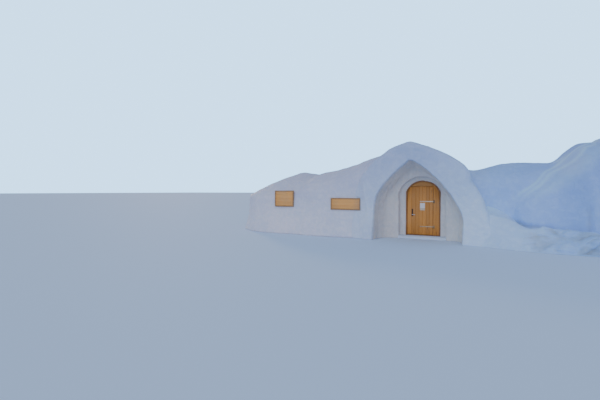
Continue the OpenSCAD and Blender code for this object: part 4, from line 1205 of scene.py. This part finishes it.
paper, tree, shader = new_material("notice_paper")
where = object_place(tree)
fibre = noise(tree, where, 220.0, 3.0)
damp = noise(tree, where, 14.0, 4.0)
edge = plus(tree, parts(tree, "XYZ", where)[2], times(tree, damp, 0.006))
white = ramp(tree, fibre, [(0.3, SHEET_WHITE[0]), (0.7, SHEET_WHITE[1])])
colour = mix(tree, stretch(tree, edge, BUFF_TOP - 0.005, BUFF_TOP, 1.0, 0.0), white, SHEET_BUFF)
colour = mix(tree, stretch(tree, damp, 0.55, 0.8, 0.0, 0.35), colour, SHEET_STAIN)
dress(tree, shader, colour, stretch(tree, damp, 0.3, 0.7, 0.55, 0.75), fibre, 0.0003, 0.4)
add_piece("pinned_notice", [sheet_grid()], 53, paper, "door", ["notice_sheet"])
add_piece("notice_pins", [
    dome_head(x, SHEET_FACE, SHEET_HIGH - PIN_INSET, 0.004, 0.0022)
    for x in (SHEET_LEFT + PIN_INSET, SHEET_RIGHT - PIN_INSET)],
    54, bright, "door")


# Name board and notice board: planks in a mitred border, let into the snow of the wing
# and left bare. Tan pine inside, darker border, four screws each.

BORDER, BOARD_DEPTH, PLANK_IN = 0.045, 0.060, 0.020
board_pine = wood_material("board_pine", LYING, (0.78, 0.275, 0.062), (0.99, 0.49, 0.135),
                           (0.22, 0.11, 0.05), 0.30, 0.7, 0.10)
border_pine = wood_material("border_pine", LYING, (0.30, 0.14, 0.055), (0.50, 0.27, 0.11),
                            (0.09, 0.04, 0.02), 0.30, 0.3, 0.10)
# The border's section, as distances in from its outer edge and depths
BORDER_SECTION = [(0, BOARD_DEPTH), (0, 0.006), (0.002, 0.002), (0.006, 0), (0.034, 0),
                  (0.040, 0.003), (0.043, 0.009), (BORDER, 0.011), (BORDER, BOARD_DEPTH)]


def framed_board(name, edges, face, plank_count, seed, panel_node, frame_node):
    """Planks with V joints inside a border whose section is carried round the four
    corners, each mitred, and a screw near every corner."""
    left, right, low, high = edges
    corners = [(left, low, 1, 1), (right, low, -1, 1), (right, high, -1, -1), (left, high, 1, -1)]
    border = np.array([[(x + in_x * off, face + y, z + in_z * off) for x, z, in_x, in_z in corners]
                       for off, y in BORDER_SECTION])
    joints = np.linspace(low + BORDER, high - BORDER, plank_count + 1)
    boards = [plank(foot + 0.0005, head - 0.0005, face + PLANK_IN, face + BOARD_DEPTH,
                    level(left + BORDER, right - BORDER), flat=True)
              for foot, head in zip(joints[:-1], joints[1:])]
    inset = 0.5 * BORDER
    screws = [dome_head(x + in_x * inset, face, z + in_z * inset, 0.006, 0.003)
              for x, z, in_x, in_z in corners]
    add_piece(name, boards, seed, board_pine, replaced=[panel_node])
    add_piece(name + "_border", [border], seed + 1, border_pine,
              replaced=[frame_node], wrapped=True)
    add_piece(name + "_screws", screws, seed + 2, zinc)


framed_board("name_board", NAME_BOARD, -1.13, 3, 61, "sign_panel", "sign_frame")
framed_board("notice_board", NOTICE_BOARD, -0.985, 4, 71, "info_panel", "info_frame")


# Floor, light and camera: a pale studio floor, a soft cool sky, a large soft light from
# the front and a low warm one from behind. The camera has the photo's height and angle.

FLOOR_REACH, FLOOR_Z = 350, -0.002
floor_mesh = bpy.data.meshes.new("studio_floor")
floor_mesh.from_pydata([(x * FLOOR_REACH, y * FLOOR_REACH, FLOOR_Z)
                        for x, y in ((-1, -1), (1, -1), (1, 1), (-1, 1))], [], [(0, 1, 2, 3)])
floor = bpy.data.objects.new("studio_floor", floor_mesh)
bpy.context.scene.collection.objects.link(floor)
floor_paint, _, shader = new_material("floor_paint")
shader.inputs["Base Color"].default_value = (0.65, 0.76, 0.92, 1)
shader.inputs["Roughness"].default_value = 0.9
floor_mesh.materials.append(floor_paint)

world = bpy.data.worlds.new("soft_sky")
bpy.context.scene.world = world
world.use_nodes = True
sky_tree = world.node_tree
sky = sky_tree.nodes["Background"]
sky.inputs["Color"].default_value = (0.52, 0.71, 1.0, 1)
sky.inputs["Strength"].default_value = 0.70
seen = wire(sky_tree, "Background", {0: (0.36, 0.66, 1.0, 1), 1: 3.2})
choice = wire(sky_tree, "MixShader", {0: wire(sky_tree, "LightPath").outputs["Is Camera Ray"],
                                      1: sky.outputs[0], 2: seen.outputs[0]})
sky_tree.links.new(choice.outputs[0], sky_tree.nodes["World Output"].inputs[0])


def soft_light(name, spot, strength, width, colour):
    """A soft far light, so many degrees wide, that shines from spot to the origin."""
    light = bpy.data.lights.new(name, "SUN")
    light.energy, light.angle, light.color = strength, np.radians(width), colour
    lamp = bpy.data.objects.new(name, light)
    bpy.context.scene.collection.objects.link(lamp)
    lamp.location = spot
    lamp.rotation_euler = (np.arctan2(np.hypot(spot[0], spot[1]), spot[2]), 0,
                           np.arctan2(spot[0], -spot[1]))


soft_light("key_light", (2, -20, 8), 1.05, 70, (0.88, 0.91, 1.0))
soft_light("low_warm_light", (-16, 15, 5), 0.8, 8, (1.0, 0.72, 0.45))

camera = bpy.data.cameras.new("photo_camera")
camera.lens, camera.sensor_width = 22.8, 36.0
camera.clip_end = 900
viewer = bpy.data.objects.new("photo_camera", camera)
viewer.location = (2.88, -15.29, 1.86)
viewer.rotation_euler = (np.radians(90 - 1.36), 0, np.radians(28.6))
bpy.context.scene.collection.objects.link(viewer)
bpy.context.scene.camera = viewer
